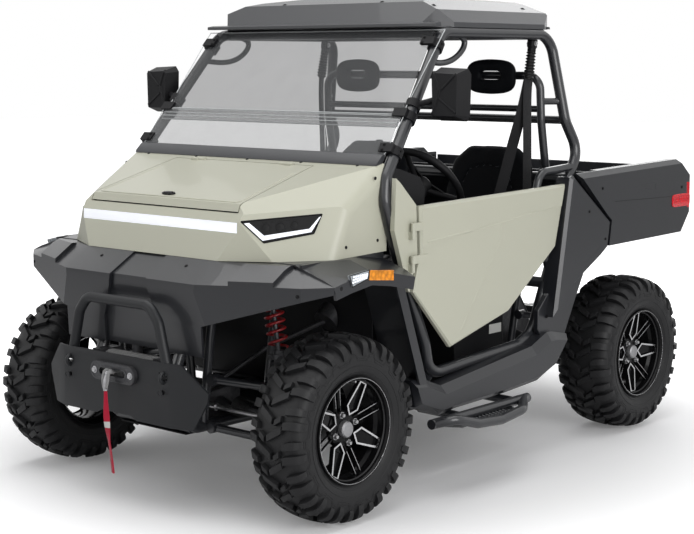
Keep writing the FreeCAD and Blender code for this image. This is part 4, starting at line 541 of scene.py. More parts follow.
def meshTree(mesh):
    return BVHTree.FromPolygons([v.co for v in mesh.vertices], [p.vertices for p in mesh.polygons])


def nodeTree(name):
    return meshTree(nodes[name].data)


def meet(tree, place, direction):  # the first face met that way: its place and normal, or None for both
    return tree.ray_cast(Vector(place), Vector(direction))[:2]


def readLine(name, points):  # the smooth line that a spline of these control points gives
    curve = bpy.data.curves.new(name, "CURVE")
    curve.dimensions = "3D"
    curve.resolution_u = 16
    line = curve.splines.new("NURBS")
    line.points.add(len(points) - 1)
    for point, place in zip(line.points, points):
        point.co = (*place, 1)
    line.order_u = 3
    line.use_endpoint_u = True
    holder = bpy.data.objects.new(name, curve)
    mesh = bpy.data.meshes.new_from_object(holder)
    path = [v.co.copy() for v in mesh.vertices]
    bpy.data.objects.remove(holder)
    return path


def ribbonRings(path, across, halfWidth, halfThick, twist, steps=16):
    # a flat webbing section carried down a path; each of the last three is a function of the share of the way
    rings = []
    for i, p in enumerate(path):
        t = i / (len(path) - 1)
        ahead = aheadAt(path, i)
        wide = Vector(across)
        wide = (wide - ahead * wide.dot(ahead)).normalized()
        deep = ahead.cross(wide)
        turn = twist(t)
        wide, deep = wide * math.cos(turn) + deep * math.sin(turn), deep * math.cos(turn) - wide * math.sin(turn)
        rings.append([p + wide * halfWidth(t) * bent(math.cos(a), 0.45) + deep * halfThick(t) * bent(math.sin(a), 0.6)
                      for a in turns(steps)])
    return rings


# winch strap, the one free cord: red webbing gathered at the hook and sewn over at its end
strap = {
    "route": ((0, -1.411, 0.440), (0, -1.411, 0.352), (0, -1.402, 0.264), (0, -1.390, 0.196), (0, -1.384, 0.134)),
    "across": (0.753, 0.657, 0),
    "width": 0.023,
    "thickness": 0.0036,
    "gathered": 0.0062,
    "gatherEnd": 0.22,
    "thinned": 0.42,
    "twist": 1.1,
    "twistFrom": 0.2,
    "twistOver": 0.35,
    "tag": (0.27, 0.36),
    "tagLift": 0.0007,
    "hem": (0.86, 1.0),
    "hemLift": 0.0012,
}


def makeStrap(s=strap):
    path = readLine("strapLine", s["route"])
    grow = lambda t: min(1.0, t / s["gatherEnd"])
    twist = lambda t: s["twist"] * min(1.0, max(0.0, t - s["twistFrom"]) / s["twistOver"])
    wide = lambda t: s["gathered"] + (s["width"] / 2 - s["gathered"]) * grow(t)
    thick = lambda t: s["thickness"] * (1.0 - s["thinned"] * grow(t))
    build = Build()
    build.loft(ribbonRings(path, s["across"], wide, thick, twist))
    band = build.piece("winch_strap_webbing", "redStrap", "chassis", "strap", 45, ("winch_strap",))
    for name, (start, end), grown, finish in (("strap_tag", s["tag"], s["tagLift"], "label"),
                                              ("strap_hem", s["hem"], s["hemLift"], "redStrap")):
        part = Build()
        first, last = int(start * (len(path) - 1)), int(end * (len(path) - 1))
        share = lambda t: start + (end - start) * t
        part.loft(ribbonRings(path[first:last + 1], s["across"], lambda t: wide(share(t)) + grown * 0.4,
                              lambda t: thick(share(t)) + grown, lambda t: twist(share(t))))
        part.piece(name, finish, "chassis", "strap", 45)


makeStrap()
print("strap made")


# tyres: a smooth carcass with chevron bars, shoulder bars and a stepped line on the wall
tyre = {
    "radius": 0.335,
    "lug": 0.018,
    "pitches": 17,
    "sunk": -0.004,
    "wallLineHeight": 0.0016,
    "wallLineHalf": 0.006,
    "wallLineSunk": -0.0005,
    "wallLineLifts": (0.0, 0.035),
    "beads": (0.75, 0.86),
    "draft": 0.003,
    "edge": 0.0014,
}
# across as a share of half the width, then radius below the tips in metres
tyreSection = ((0.0, 0.018), (0.3, 0.0195), (0.55, 0.024), (0.76, 0.032), (0.9, 0.048), (0.955, 0.075),
               (0.945, 0.103), (0.89, 0.127), (0.83, 0.139), (0.80, 0.146), (0.775, 0.148), (0.76, 0.155))
# each bar: (share along the section line, shift along the tread in metres, half width, height share)
tyreBars = (
    ((-0.035, -0.012, 0.011, 1.0), (0.04, -0.001, 0.0125, 1.0), (0.22, 0.024, 0.0125, 1.0)),
    ((0.235, 0.038, 0.013, 1.0), (0.34, 0.043, 0.0145, 1.0), (0.44, 0.044, 0.0155, 0.95),
     (0.52, 0.044, 0.015, 0.6), (0.6, 0.044, 0.012, 0.2)),
    ((0.085, 0.045, 0.0095, 1.0), (0.19, 0.062, 0.0105, 1.0)),
    ((0.245, 0.088, 0.011, 1.0), (0.33, 0.094, 0.0135, 1.0), (0.42, 0.097, 0.014, 0.95), (0.5, 0.098, 0.013, 0.5),
     (0.545, 0.098, 0.011, 0.15)),
)


class TyreLine:  # the section as a line with a length, its place and outward normal at each share
    def __init__(self, halfWidth, radius):
        raw = [(a * halfWidth, radius - b) for a, b in tyreSection]
        self.points = splined(raw, 6)
        self.reach = [0.0]
        for p, q in zip(self.points, self.points[1:]):
            self.reach.append(self.reach[-1] + math.dist(p, q))

    def at(self, share):
        sign = -1 if share < 0 else 1
        goal = abs(share) * self.reach[-1]
        k = 1
        while k < len(self.reach) - 1 and self.reach[k] < goal:
            k += 1
        t = (goal - self.reach[k - 1]) / (self.reach[k] - self.reach[k - 1])
        p, q = self.points[k - 1], self.points[k]
        x, r = p[0] + (q[0] - p[0]) * t, p[1] + (q[1] - p[1]) * t
        length = math.dist(p, q)
        return x * sign, r, -(q[1] - p[1]) / length * sign, (q[0] - p[0]) / length


def makeTyre(corner, centre, halfWidth, body, t=tyre):
    build = Build()
    line = TyreLine(halfWidth, t["radius"])
    centre = Vector(centre)

    def on(share, shift, height):
        x, r, nx, nr = line.at(share)
        turn = shift / t["radius"]
        radial = r + nr * height
        return centre + Vector((x + nx * height, radial * math.sin(turn), radial * math.cos(turn)))

    half = line.points
    section = [(-x, r) for x, r in reversed(half[1:])] + list(half)
    inner = [(x * 0.93, r - 0.012) for x, r in reversed(section[4:-4])]
    build.turned(section + inner, centre, (1, 0, 0), (0, 0, 1), 96)
    pitch = 2 * math.pi * t["radius"] / t["pitches"]
    wallHalf, wallSunk = t["wallLineHalf"], t["wallLineSunk"]
    for side in (1, -1):
        for k in range(t["pitches"]):
            base = (k + (0.5 if side < 0 else 0)) * pitch
            for bar in tyreBars:
                rings = []
                for share, shift, wide, tall in splined(bar, 3 if len(bar) > 2 else 2):
                    top = t["lug"] * tall
                    slope = t["draft"] * tall
                    rings.append([on(side * share, base + shift - wide - slope, t["sunk"]),
                                  on(side * share, base + shift - wide, top),
                                  on(side * share, base + shift + wide, top),
                                  on(side * share, base + shift + wide + slope, t["sunk"])])
                build.loft(rings)
            for lift in t["wallLineLifts"]:
                steps = ((0.64 + lift, 0.020), (0.64 + lift, 0.066), (0.565 + lift, 0.082), (0.565 + lift, 0.112),
                         (0.64 + lift, 0.126), (0.64 + lift, 0.020 + pitch))
                rings = []
                for share, shift in steps:
                    rings.append([on(side * (share - wallHalf), base + shift, wallSunk),
                                  on(side * share, base + shift, t["wallLineHeight"]),
                                  on(side * (share + wallHalf), base + shift, wallSunk)])
                build.loft(rings, closed=False, caps=False)
    for share in t["beads"]:
        x, r, nx, nr = line.at(share)
        for side in (1, -1):
            build.turned([((x - 0.002 * nr) * side, r + 0.002 * nx - 0.001),
                          ((x + 0.0016 * nx) * side, r + 0.0016 * nr),
                          ((x + 0.002 * nr) * side, r - 0.002 * nx - 0.001)], centre, (1, 0, 0), (0, 0, 1), 96)
    piece = build.piece("tyre_lugged_" + corner, "tyreRubber", body, "rubber", 28, ("tyre_" + corner,))
    bevelled(piece, t["edge"], 1, 50).modifiers["edge"].use_clamp_overlap = True


# wheels: gloss black barrel, four kite frames with machined edges, thin twin spokes between
wheel = {
    "barrelRadius": 0.179,
    "lipRadius": 0.1925,
    "frontHalf": 0.103,
    "outerX": 0.102,
    "hubX": 0.050,
    "armX": 0.072,
    "frameDepth": 0.011,
    "turnFront": 64.0,
    "turnRear": 87.0,
    "twinApart": 0.0135,
    "boltRadius": 0.055,
    "edge": 0.0008,
}
kiteOutline = ((0.1765, -0.0185), (0.078, -0.0315), (0.049, 0.0), (0.078, 0.0315), (0.1765, 0.0185))
kiteWindow = ((0.1700, -0.0125), (0.080, -0.0248), (0.0575, 0.0), (0.080, 0.0248), (0.1700, 0.0125))
kitePocket = ((0.066, -0.010), (0.084, -0.013), (0.084, 0.013), (0.066, 0.010))


def makeWheel(corner, centre, halfWidth, side, turnDegrees, body, w=wheel):
    build = Build()
    centre = Vector(centre)
    out = Vector((side, 0, 0))
    shiftX = halfWidth - w["frontHalf"]

    def on(r, t, depth, angle):  # a place on the wheel's face
        c, s = math.cos(angle), math.sin(angle)
        return centre + out * (depth + shiftX) + Vector((0, r * c - t * s, r * s + t * c))

    def rise(r):  # the face is dished: arms come out towards the rim
        return w["hubX"] + (w["armX"] - w["hubX"]) * min(1.0, max(0.0, (r - 0.04) / 0.135))

    outer, back = w["outerX"] + shiftX, -halfWidth + 0.001
    lip, barrel = w["lipRadius"], w["barrelRadius"]
    section = [(outer - 0.004, lip), (outer, lip - 0.002), (outer - 0.0005, lip - 0.007),
               (outer - 0.006, barrel + 0.002), (outer - 0.014, barrel - 0.001), (outer - 0.05, barrel - 0.003),
               (outer - 0.062, barrel - 0.012), (0.0, barrel - 0.016), (back + 0.03, barrel - 0.012),
               (back + 0.012, barrel - 0.002), (back, lip - 0.006), (back, lip), (back + 0.005, lip),
               (back + 0.012, barrel + 0.003), (back + 0.035, barrel - 0.006), (0.0, barrel - 0.011),
               (outer - 0.066, barrel - 0.006), (outer - 0.052, barrel + 0.003), (outer - 0.016, barrel + 0.005),
               (outer - 0.009, lip)]
    build.turned(section, centre, out, (0, 0, 1), 72, 0)
    build.turned([(outer + 0.0002, lip - 0.0062), (outer + 0.0004, lip - 0.0078), (outer - 0.001, lip - 0.0078)],
                 centre, out, (0, 0, 1), 72, 1)
    hubRing = ((-0.026, 0.028), (-0.026, 0.068), (-0.008, 0.064), (-0.004, 0.05), (-0.004, 0.028))
    hubCap = ((-0.008, 0.0), (-0.008, 0.030), (0.012, 0.029), (0.017, 0.0255), (0.0182, 0.014), (0.0187, 0.0))
    for part, finish, looped in ((hubRing, 0, True), (hubCap, 2, False)):
        build.turned([(w["hubX"] + a + shiftX, r) for a, r in part], centre, out, (0, 0, 1), 48, finish, looped)
    turn = math.radians(turnDegrees)
    for k in range(4):
        angle = turn + k * math.pi / 2
        angle = angle if side > 0 else math.pi - angle
        count = len(kiteOutline)
        top = [on(r, t, rise(r), angle) for r, t in kiteOutline]
        topIn = [on(r, t, rise(r), angle) for r, t in kiteWindow]
        low = [on(r, t * 1.05, rise(r) - w["frameDepth"] * 1.6, angle) for r, t in kiteOutline]
        lowIn = [on(r, t, rise(r) - w["frameDepth"], angle) for r, t in kiteWindow]
        edgeOut = [on(r * 1.002, t * 1.03, rise(r) - 0.0012, angle) for r, t in kiteOutline]
        for i in range(count):
            j = (i + 1) % count
            for one, two, finish in ((top, topIn, 1), (top, edgeOut, 0), (edgeOut, low, 0), (topIn, lowIn, 0)):
                build.add([one[i], one[j], two[j], two[i]], [(0, 1, 2, 3)], finish)
        build.add(lowIn, [tuple(range(count))], 0)
        build.add(low, [tuple(range(count))], 0)
        # a shallow raised pad in the window, near the hub
        build.slab([on(r, t, rise(r) - w["frameDepth"] + 0.0006, angle) for r, t in kitePocket], out * 0.003, 0)
        between = angle + math.pi / 4
        for t in (-w["twinApart"], w["twinApart"]):
            for (r0, t0, deep0), (r1, deep1), half, thick, finish in (
                    ((0.045, t * 0.8, 0.024), (0.176, 0.018), 0.0028, 0.010, 0),
                    ((0.085, t * 0.9, 0.0125), (0.174, 0.0079), 0.0012, 0.0006, 3)):
                build.slab([on(r0, t0 - half, rise(r0) - deep0, between), on(r1, t - half, rise(r1) - deep1, between),
                            on(r1, t + half, rise(r1) - deep1, between), on(r0, t0 + half, rise(r0) - deep0, between)],
                           out * thick, finish)
        seat = on(w["boltRadius"], 0, w["hubX"] - 0.012, between)
        build.rod(seat, seat + out * 0.016, 0.0125, 3, 6)
        build.rod(seat + out * 0.016, seat + out * 0.026, 0.0095, 3, 16, 0.006)
    valve = on(barrel - 0.006, 0, w["armX"] + 0.012, turn + 0.42)
    build.rod(valve - out * 0.02, valve + out * 0.012, 0.004, 3, 12)
    rim = build.piece("wheel_" + corner, ("glossBlack", "machined", "castAlloy", "zinc"), body, "wheel", 30,
                      ("rim_" + corner,))
    bevelled(rim, w["edge"], 1, 40)


corners = (
    ("front_left", (0.689, -0.96, 0.335), 0.114, 0.103, 1, wheel["turnFront"]),
    ("front_right", (-0.689, -0.96, 0.335), 0.114, 0.103, -1, 180 - wheel["turnFront"]),
    ("rear_left", (0.673, 0.96, 0.335), 0.13, 0.116, 1, wheel["turnRear"]),
    ("rear_right", (-0.673, 0.96, 0.335), 0.13, 0.116, -1, 180 - wheel["turnRear"]),
)
for corner, centre, halfWidth, rimHalf, side, turn in corners:
    makeTyre(corner, centre, halfWidth, "wheel_" + corner)
    makeWheel(corner, centre, rimHalf, side, turn, "wheel_" + corner)
print("tyres and wheels made")


# wound springs over the dampers
spring = {
    "radius": 0.0335,
    "wire": 0.0052,
    "turns": 6.5,
    "steps": 20,
    "front": (((0.4301, -0.914, 0.2903), (0.331, -0.914, 0.842)), (0.5, 0.9)),
    "rear": (((0.4301, 1.006, 0.2903), (0.331, 1.006, 0.752)), (0.5, 0.9)),
}


def makeSprings(s=spring):
    build = Build()
    for key in ("front", "rear"):
        (low, top), (start, end) = s[key]
        low, top = Vector(low), Vector(top)
        axis = top - low
        first, last = low + axis * start, low + axis * end
        along = axis.normalized()
        up = along.orthogonal().normalized()
        across = along.cross(up)
        count = int(s["turns"] * s["steps"])
        path = []
        for k in range(count + 1):
            t = k / count
            turn = 2 * math.pi * s["turns"] * t
            eased = t + 0.03 * math.sin(2 * math.pi * t)
            centre = first.lerp(last, 0.02 + 0.96 * eased)
            path.append(centre + up * math.cos(turn) * s["radius"] + across * math.sin(turn) * s["radius"])
        build.pipe(path, s["wire"], 0, 10)
    build.mirror()
    build.piece("coil_springs", "redSpring", "chassis", "spring", 50, ("springs",))


makeSprings()
print("springs made")


# winch: fairlead ring and bolts, rope laid on the drum, the spliced eye on the hook
winch = {
    "hookY": -1.385,
    "hookHalf": 0.02,
    "ropeY": -1.315,
    "ropeHalf": 0.005,
    "centreZ": 0.500,
    # each lead ring: half width, half height and y of its four loops
    "leads": (((0.117, 0.031, -1.3772), (0.117, 0.031, -1.3805), (0.111, 0.0255, -1.3805), (0.111, 0.0255, -1.3772)),
              ((0.078, 0.0175, -1.3772), (0.078, 0.0175, -1.3812), (0.070, 0.0125, -1.3812), (0.070, 0.0125, -1.3772))),
    "boltsX": 0.096,
    "drum": (-1.262, 0.500, 0.048, 0.142),
    "rope": 0.0042,
    "eye": 0.0052,
    "bindings": 5,
}


def makeWinch(w=winch):
    give = paintParts("winch", ("darkSteel", "castAlloy", "rope"))
    give(1, lambda p: p.y < w["hookY"] and abs(p.x) < w["hookHalf"])
    give(2, lambda p: w["hookY"] < p.y < w["ropeY"] and abs(p.x) < w["ropeHalf"])
    trim = Build()
    z = w["centreZ"]

    def oval(half, height, y):
        return [Vector((math.cos(a) * height + math.copysign(half - height, math.cos(a)), y,
                        z + math.sin(a) * height)) for a in turns(40)]

    for lead in w["leads"]:
        trim.loft([oval(*loop) for loop in lead], 0, caps=False)
    for x in (-w["boltsX"], w["boltsX"]):
        boltAt(trim, (x, -1.3792, z), (0, -1, 0), 0.0095, 1)
    trim.piece("fairlead_trim", ("powder", "zinc"), "chassis", "mechanical", 40)
    rope = Build()
    y, zc, radius, half = w["drum"]
    rounds = int(2 * half / (2 * w["rope"]))
    reach = radius + w["rope"] * 0.7
    path = []
    for k in range(rounds * 24 + 1):
        a = 2 * math.pi * k / 24
        x = -half + 2 * half * k / (rounds * 24)
        path.append((x, y + reach * math.cos(a), zc + reach * math.sin(a)))
    rope.pipe(path, w["rope"], 0, 6, (1, 0, 0))
    for side in (-1, 1):  # the two legs of the eye lie each side of the hook's ring
        leg = splined([(side * 0.002, -1.384, 0.503), (side * 0.011, -1.398, 0.512), (side * 0.0135, -1.4085, 0.497),
                       (side * 0.0125, -1.412, 0.472), (side * 0.007, -1.4135, 0.452)], 6)
        rope.pipe(leg, w["eye"], 0, 10)
    bend = splined([(-0.007, -1.4135, 0.452), (0, -1.4145, 0.446), (0.007, -1.4135, 0.452)], 6)
    rope.pipe(bend, w["eye"], 0, 10)
    for k in range(w["bindings"]):
        rope.turned([(-0.0012, 0.0068), (0.0012, 0.0068), (0.0012, 0.0045), (-0.0012, 0.0045)],
                    (0, -1.3795 + 0.0026 * k, 0.5015), (0, 1, 0), (0, 0, 1), 16, 0)
    rope.piece("winch_rope", "rope", "chassis", "mechanical", 50)


# bumper: bolts along the top of its plate, and a rolled ring on each side of the plate's face
bumper = {
    "bolts": ((0.262, -1.340, 0.522), (0.205, -1.346, 0.522), (0.300, -1.334, 0.522)),
    "bolt": 0.0065,
    "ringAt": (0.252, -1.3795, 0.461),
    "ring": ((-0.001, 0.0125), (0.0012, 0.0125), (0.0012, 0.0095), (-0.001, 0.0095)),
}


def makeBumperTrim(b=bumper):
    trim = Build()
    for x, y, z in b["bolts"]:
        for side in (1, -1):
            boltAt(trim, (x * side, y, z), (0, 0, 1), b["bolt"], 0)
    x, y, z = b["ringAt"]
    for side in (1, -1):
        trim.turned(b["ring"], (x * side, y, z), (0, -1, 0), (0, 0, 1), 24, 0)
    trim.piece("bumper_bolts", "plateSteel", "chassis", "mechanical", 40)


makeWinch()
makeBumperTrim()
print("winch and bumper trim made")


# cushions: each form is remeshed, swollen by cloth pressure, held back to its cap, then seamed
cushion = {
    "voxel": 0.006,
    "restVoxel": 0.004,
    "pressure": 4.0,
    "stiffness": 12,
    "frames": 20,
    "cap": 0.008,
    "backCap": 0.006,
    "restCap": 0.003,
    "middle": 0.330,
    "seamWide": 0.006,
    "seamDeep": 0.0045,
    "piping": 0.0022,
    "stitchStep": 4,
    "stitchAway": 0.0075,
    "stitch": 0.0007,
    "topLoop": ((-0.150, -0.045, 0.78), (-0.158, 0.29, 0.74), (0.158, 0.29, 0.74), (0.150, -0.045, 0.78),
                (-0.150, -0.045, 0.78)),
    "channels": (0.06, 0.16),
    "channelHalf": 0.145,
    "panel": ((-0.150, 0.775), (-0.160, 0.95), (-0.148, 1.06), (-0.105, 1.155), (0.0, 1.178), (0.105, 1.155),
              (0.148, 1.06), (0.160, 0.95), (0.150, 0.775)),
    "rib": ((-0.158, 0.93), (0.0, 0.915), (0.158, 0.93)),
    "backEdge": ((-0.235, 0.76), (-0.235, 1.03), (-0.207, 1.175), (-0.12, 1.25), (0.12, 1.25), (0.207, 1.175),
                 (0.235, 1.03), (0.235, 0.76)),
    "baseEdge": ((-0.24, 0.33), (-0.24, -0.09), (-0.225, -0.115), (0.225, -0.115), (0.24, -0.09), (0.24, 0.33)),
    "baseEdgeZ": 0.665,
    "tray": ((-0.2, 0.02, 0.607), (0.2, 0.02, 0.607), (0.2, 0.33, 0.607), (-0.2, 0.33, 0.607)),
    "trayDepth": 0.009,
    "knobAt": (-0.31, 0.468, 1.30),
    "knob": ((-0.004, 0.0), (-0.004, 0.017), (0.008, 0.0175), (0.014, 0.014), (0.015, 0.0)),
}


def baseForm(middle=cushion["middle"], half=0.230):
    # side outline of the seat base, rounded, drawn in from the solid it stands for
    side = ((-0.104, 0.660), (-0.112, 0.715), (-0.082, 0.757), (0.0, 0.765), (0.15, 0.745), (0.30, 0.726),
            (0.338, 0.722), (0.342, 0.670), (0.340, 0.616), (0.12, 0.614), (-0.085, 0.614))
    loop = splined(list(side) + [side[0]], 5)[:-1]
    middleY, middleZ = 0.12, 0.685
    rings = []
    for share, scale in ((-1.0, 0.86), (-0.985, 0.93), (-0.95, 0.975), (-0.86, 1.0), (-0.72, 0.995), (-0.5, 0.985),
                         (0, 0.98), (0.5, 0.985), (0.72, 0.995), (0.86, 1.0), (0.95, 0.975), (0.985, 0.93),
                         (1.0, 0.86)):
        rings.append([Vector((middle + half * share, middleY + (y - middleY) * scale,
                              middleZ + (z - middleZ) * scale)) for y, z in loop])
    build = Build()
    build.loft(rings)
    return build


def backFront(z):  # the front and rear faces of the backrest at a height
    front = 0.3569 + (z - 0.730) * 0.2064
    rear = 0.412 + (z - 0.730) * 0.162
    return front, rear


def backForm(middle=cushion["middle"], middleZ=0.985):
    outline = ((-0.226, 0.738), (-0.229, 0.85), (-0.229, 1.04), (-0.206, 1.182), (-0.130, 1.246), (0.0, 1.249),
               (0.130, 1.246), (0.206, 1.182), (0.229, 1.04), (0.229, 0.85), (0.226, 0.738), (0.0, 0.735))
    loop = []
    for (x0, z0), (x1, z1) in zip(outline, outline[1:] + outline[:1]):
        for k in range(8):
            t = k / 8
            loop.append((x0 + (x1 - x0) * t, z0 + (z1 - z0) * t))
    for _ in range(2):  # the corners round off as a filled cover's do
        loop = [((loop[i - 1][0] + loop[i][0] * 2 + loop[(i + 1) % len(loop)][0]) / 4,
                 (loop[i - 1][1] + loop[i][1] * 2 + loop[(i + 1) % len(loop)][1]) / 4) for i in range(len(loop))]
    rings = []
    for depth, scale in ((0.02, 0.925), (0.06, 0.96), (0.2, 0.99), (0.5, 1.0), (0.8, 0.99), (0.94, 0.96),
                         (0.98, 0.925)):
        ring = []
        for x, z in loop:
            z = middleZ + (z - middleZ) * scale
            front, rear = backFront(z)
            ring.append(Vector((middle + x * scale, front + (rear - front) * depth, z)))
        rings.append(ring)
    build = Build()
    build.loft(rings)
    return build


def headrestForm(centre=(0.3675, 0.396, 1.540), halfDeep=0.0155):  # an open loop, wider than it is tall
    rings = []
    for a in turns(64):
        c, s = math.cos(a), math.sin(a)
        outer = Vector((0.124 * bent(c, 0.62), 0, 0.071 * bent(s, 0.62)))
        inner = Vector((0.053 * bent(c, 0.45), 0, 0.0185 * bent(s, 0.5) + 0.006))
        ring = []
        for out, deep in ((0.0, -0.55), (0.06, -0.9), (0.25, -1.0), (0.7, -1.0), (0.92, -0.8), (1.0, -0.4), (1.0, 0.4),
                          (0.92, 0.8), (0.7, 1.0), (0.25, 1.0), (0.06, 0.9), (0.0, 0.55)):
            place = Vector(centre) + inner.lerp(outer, out)
            place.y += halfDeep * deep
            ring.append(place)
        rings.append(ring)
    build = Build()
    build.wrap(rings)
    return build


def remeshed(name, build, voxel):
    rough = bpy.data.objects.new(name + "Rough", build.mesh(name + "Rough"))
    scene.collection.objects.link(rough)
    grid = rough.modifiers.new("grid", "REMESH")
    grid.mode = "VOXEL"
    grid.voxel_size = voxel
    soft = rough.modifiers.new("soft", "SMOOTH")
    soft.factor = 0.5
    soft.iterations = 4
    made = evaluated(rough, name)
    bpy.data.objects.remove(rough)
    return made


def evaluated(thing, name):
    graph = bpy.context.evaluated_depsgraph_get()
    graph.update()
    mesh = bpy.data.meshes.new_from_object(thing.evaluated_get(graph))
    mesh.name = name
    return mesh


def swell(forms, c=cushion):
    # all the covers fill at once, so the frames are stepped only once
    filling = []
    for name, build, voxel, cap in forms:
        mesh = remeshed(name, build, voxel)
        cover = bpy.data.objects.new(name + "Cover", mesh)
        scene.collection.objects.link(cover)
        cloth = cover.modifiers.new("fill", "CLOTH")
        cloth.settings.quality = 4
        cloth.settings.use_pressure = True
        cloth.settings.uniform_pressure_force = c["pressure"]
        cloth.settings.effector_weights.gravity = 0
        cloth.settings.tension_stiffness = c["stiffness"]
        cloth.settings.compression_stiffness = c["stiffness"]
        cloth.collision_settings.use_collision = False
        cloth.point_cache.frame_end = c["frames"]
        filling.append((name, cover, cap))
    for step in range(1, c["frames"] + 1):
        scene.frame_set(step)
    made = {}
    for name, cover, cap in filling:
        mesh = evaluated(cover, name)
        for vertex, before in zip(mesh.vertices, cover.data.vertices):
            move = vertex.co - before.co
            if move.length > cap:
                vertex.co = before.co + move.normalized() * cap
        bpy.data.objects.remove(cover)
        made[name] = mesh
    scene.frame_set(1)
    return made


def dent(mesh, lines, wide, deep):  # sewn channels: points near a line are drawn in
    places = [p for line in lines for p in line]
    tree = KDTree(len(places))
    for i, p in enumerate(places):
        tree.insert(p, i)
    tree.balance()
    normals = [v.normal.copy() for v in mesh.vertices]
    for vertex, normal in zip(mesh.vertices, normals):
        distance = tree.find(vertex.co)[2]
        if distance < 3 * wide:
            vertex.co -= normal * deep * math.exp(-(distance / wide) ** 2)


def laidOn(mesh, points, lift):  # points dropped on the nearest face
    tree = meshTree(mesh)
    out = []
    for p in points:
        place, normal = tree.find_nearest(p)[:2]
        out.append(place + normal * lift)
    return out


def smoothed(points, rounds=6, closed=True):
    points = [Vector(p) for p in points]
    for _ in range(rounds):
        fresh = []
        for i, p in enumerate(points):
            if not closed and i in (0, len(points) - 1):
                fresh.append(p)
            else:
                fresh.append((points[i - 1] + p * 2 + points[(i + 1) % len(points)]) / 4)
        points = fresh
    return points


def between(points, steps):
    out = []
    for p, q in zip(points, points[1:]):
        out += [Vector(p).lerp(Vector(q), k / steps) for k in range(steps)]
    return out


def mirroredMesh(mesh, name):
    other = mesh.copy()
    other.name = name
    for vertex in other.vertices:
        vertex.co.x = -vertex.co.x
    other.flip_normals()
    return other


def makeCushions(c=cushion):
    made = swell((("seat_base_left", baseForm(), c["voxel"], c["cap"]),
                  ("seat_back_left", backForm(), c["voxel"], c["backCap"]),
                  ("headrest_left", headrestForm(), c["restVoxel"], c["restCap"])))
    middle = c["middle"]
    base, back, rest = made["seat_base_left"], made["seat_back_left"], made["headrest_left"]
    topLoop = smoothed(between([(middle + x, y, z) for x, y, z in c["topLoop"]], 60), 30)
    reach = c["channelHalf"]
    channels = [between([(middle - reach, y, 0.78), (middle + reach, y, 0.78)], 60) for y in c["channels"]]
    lines = [laidOn(base, line, 0) for line in [topLoop] + channels]
    dent(base, lines, c["seamWide"], c["seamDeep"])
    frontAt = lambda x, z: Vector((middle + x, backFront(z)[0] - 0.02, z))
    panelLine = smoothed(between([frontAt(x, z) for x, z in c["panel"]], 24), 20, False)
    rib = between([frontAt(x, z) for x, z in c["rib"]], 50)
    backLines = [laidOn(back, line, 0) for line in (panelLine, rib)]
    dent(back, backLines, c["seamWide"], c["seamDeep"] * 0.5)
    trim = Build()
    stitch = Build()
    step = c["stitchStep"]
    for mesh, line in ((base, topLoop), (back, panelLine)):
        closed = mesh is base
        path = laidOn(mesh, line + (line[:2] if closed else []), 0.0004)
        trim.pipe(path[::2], c["piping"], 0, 8)
        for k in range(0, len(path) - step, step * 2):
            a, b = path[k], path[k + step - 1]
            across = (b - a).cross(Vector((0, -0.4, 1))).normalized() * c["stitchAway"]
            start, end = laidOn(mesh, [a + across, b + across], 0.0003)
            if (end - start).length > 0.0005:
                stitch.rod(start, end, c["stitch"], 0, 5)
    # a welt over the edge of each back and round the front of each base
    for mesh, edge in ((back, [Vector((middle + x, sum(backFront(z)) / 2, z)) for x, z in c["backEdge"]]),
                       (base, [Vector((middle + x, y, c["baseEdgeZ"])) for x, y in c["baseEdge"]])):
        line = smoothed(between(edge, 20), 8, False)
        trim.pipe(laidOn(mesh, line, 0.0006), c["piping"], 0, 8)
    for mesh, fill, node in ((base, 0.8, "seats"), (back, 0.8, "seats"), (rest, 0.9, "headrests")):
        for each in (mesh, mirroredMesh(mesh, mesh.name.replace("left", "right"))):
            each.materials.clear()
            piece = addPiece(each.name, each, "vinyl", "chassis", 0, (node,))
            each.shade_smooth()
    trim.mirror()
    trim.piece("seat_piping", "vinyl", "chassis", "seat", 50)
    stitch.mirror()
    stitch.piece("seat_stitching", "thread", "chassis", "seat", 0)
    shell = Build()  # a tray under each cushion, and one knob on the top of a back
    shell.slab([(middle + x, y, z) for x, y, z in c["tray"]], (0, 0, c["trayDepth"]))
    shell.mirror()
    knobAt = laidOn(mirroredMesh(back, "knobSeat"), [Vector(c["knobAt"])], -0.006)[0]
    shell.turned(c["knob"], knobAt, (0, 0, 1), (1, 0, 0), 24, 0, False)
    shell.piece("seat_shells", "matBlack", "chassis", "black_plastic", 40)


makeCushions()
print("cushions made")


# lamps: the carried lamp node takes its finishes by place, with the light pipes laid on the lenses
lens = {
    "corners": ((0.428, -1.150, 1.056), (0.610, -0.932, 1.076), (0.612, -0.976, 1.014), (0.500, -1.110, 0.984)),
    "plane": ((0.416, -1.155, 1.050), (0.640, -0.888, 1.101), (0.620, -0.922, 1.075)),
    "barHalf": 0.42,
    "markerX": 0.78,
    "whiteBefore": -0.9,
    "amberAfter": -0.911,
    # the light pipe at each of the lens's corners: corner number, then the pipe's outer and inner offset
    "pipe": ((0, (0.010, 0.008), (0.028, 0.008)), (3, (-0.004, -0.008), (0.003, -0.025)),
             (2, (-0.008, -0.006), (-0.014, -0.018)), (1, (-0.005, 0.008), (-0.012, 0.010))),
    "projectors": ((0.085, 0.030, 0.017), (0.135, 0.031, 0.017), (0.185, 0.029, 0.015)),
    "rim": 0.0024,
    "frameX": 0.8125,
    "frame": 0.0017,
    "whiteFrame": ((-1.018, 0.886), (-0.915, 0.896), (-0.922, 0.866), (-1.003, 0.846)),
    "amberFrame": ((-0.908, 0.893), (-0.786, 0.881), (-0.786, 0.848), (-0.915, 0.862)),
}


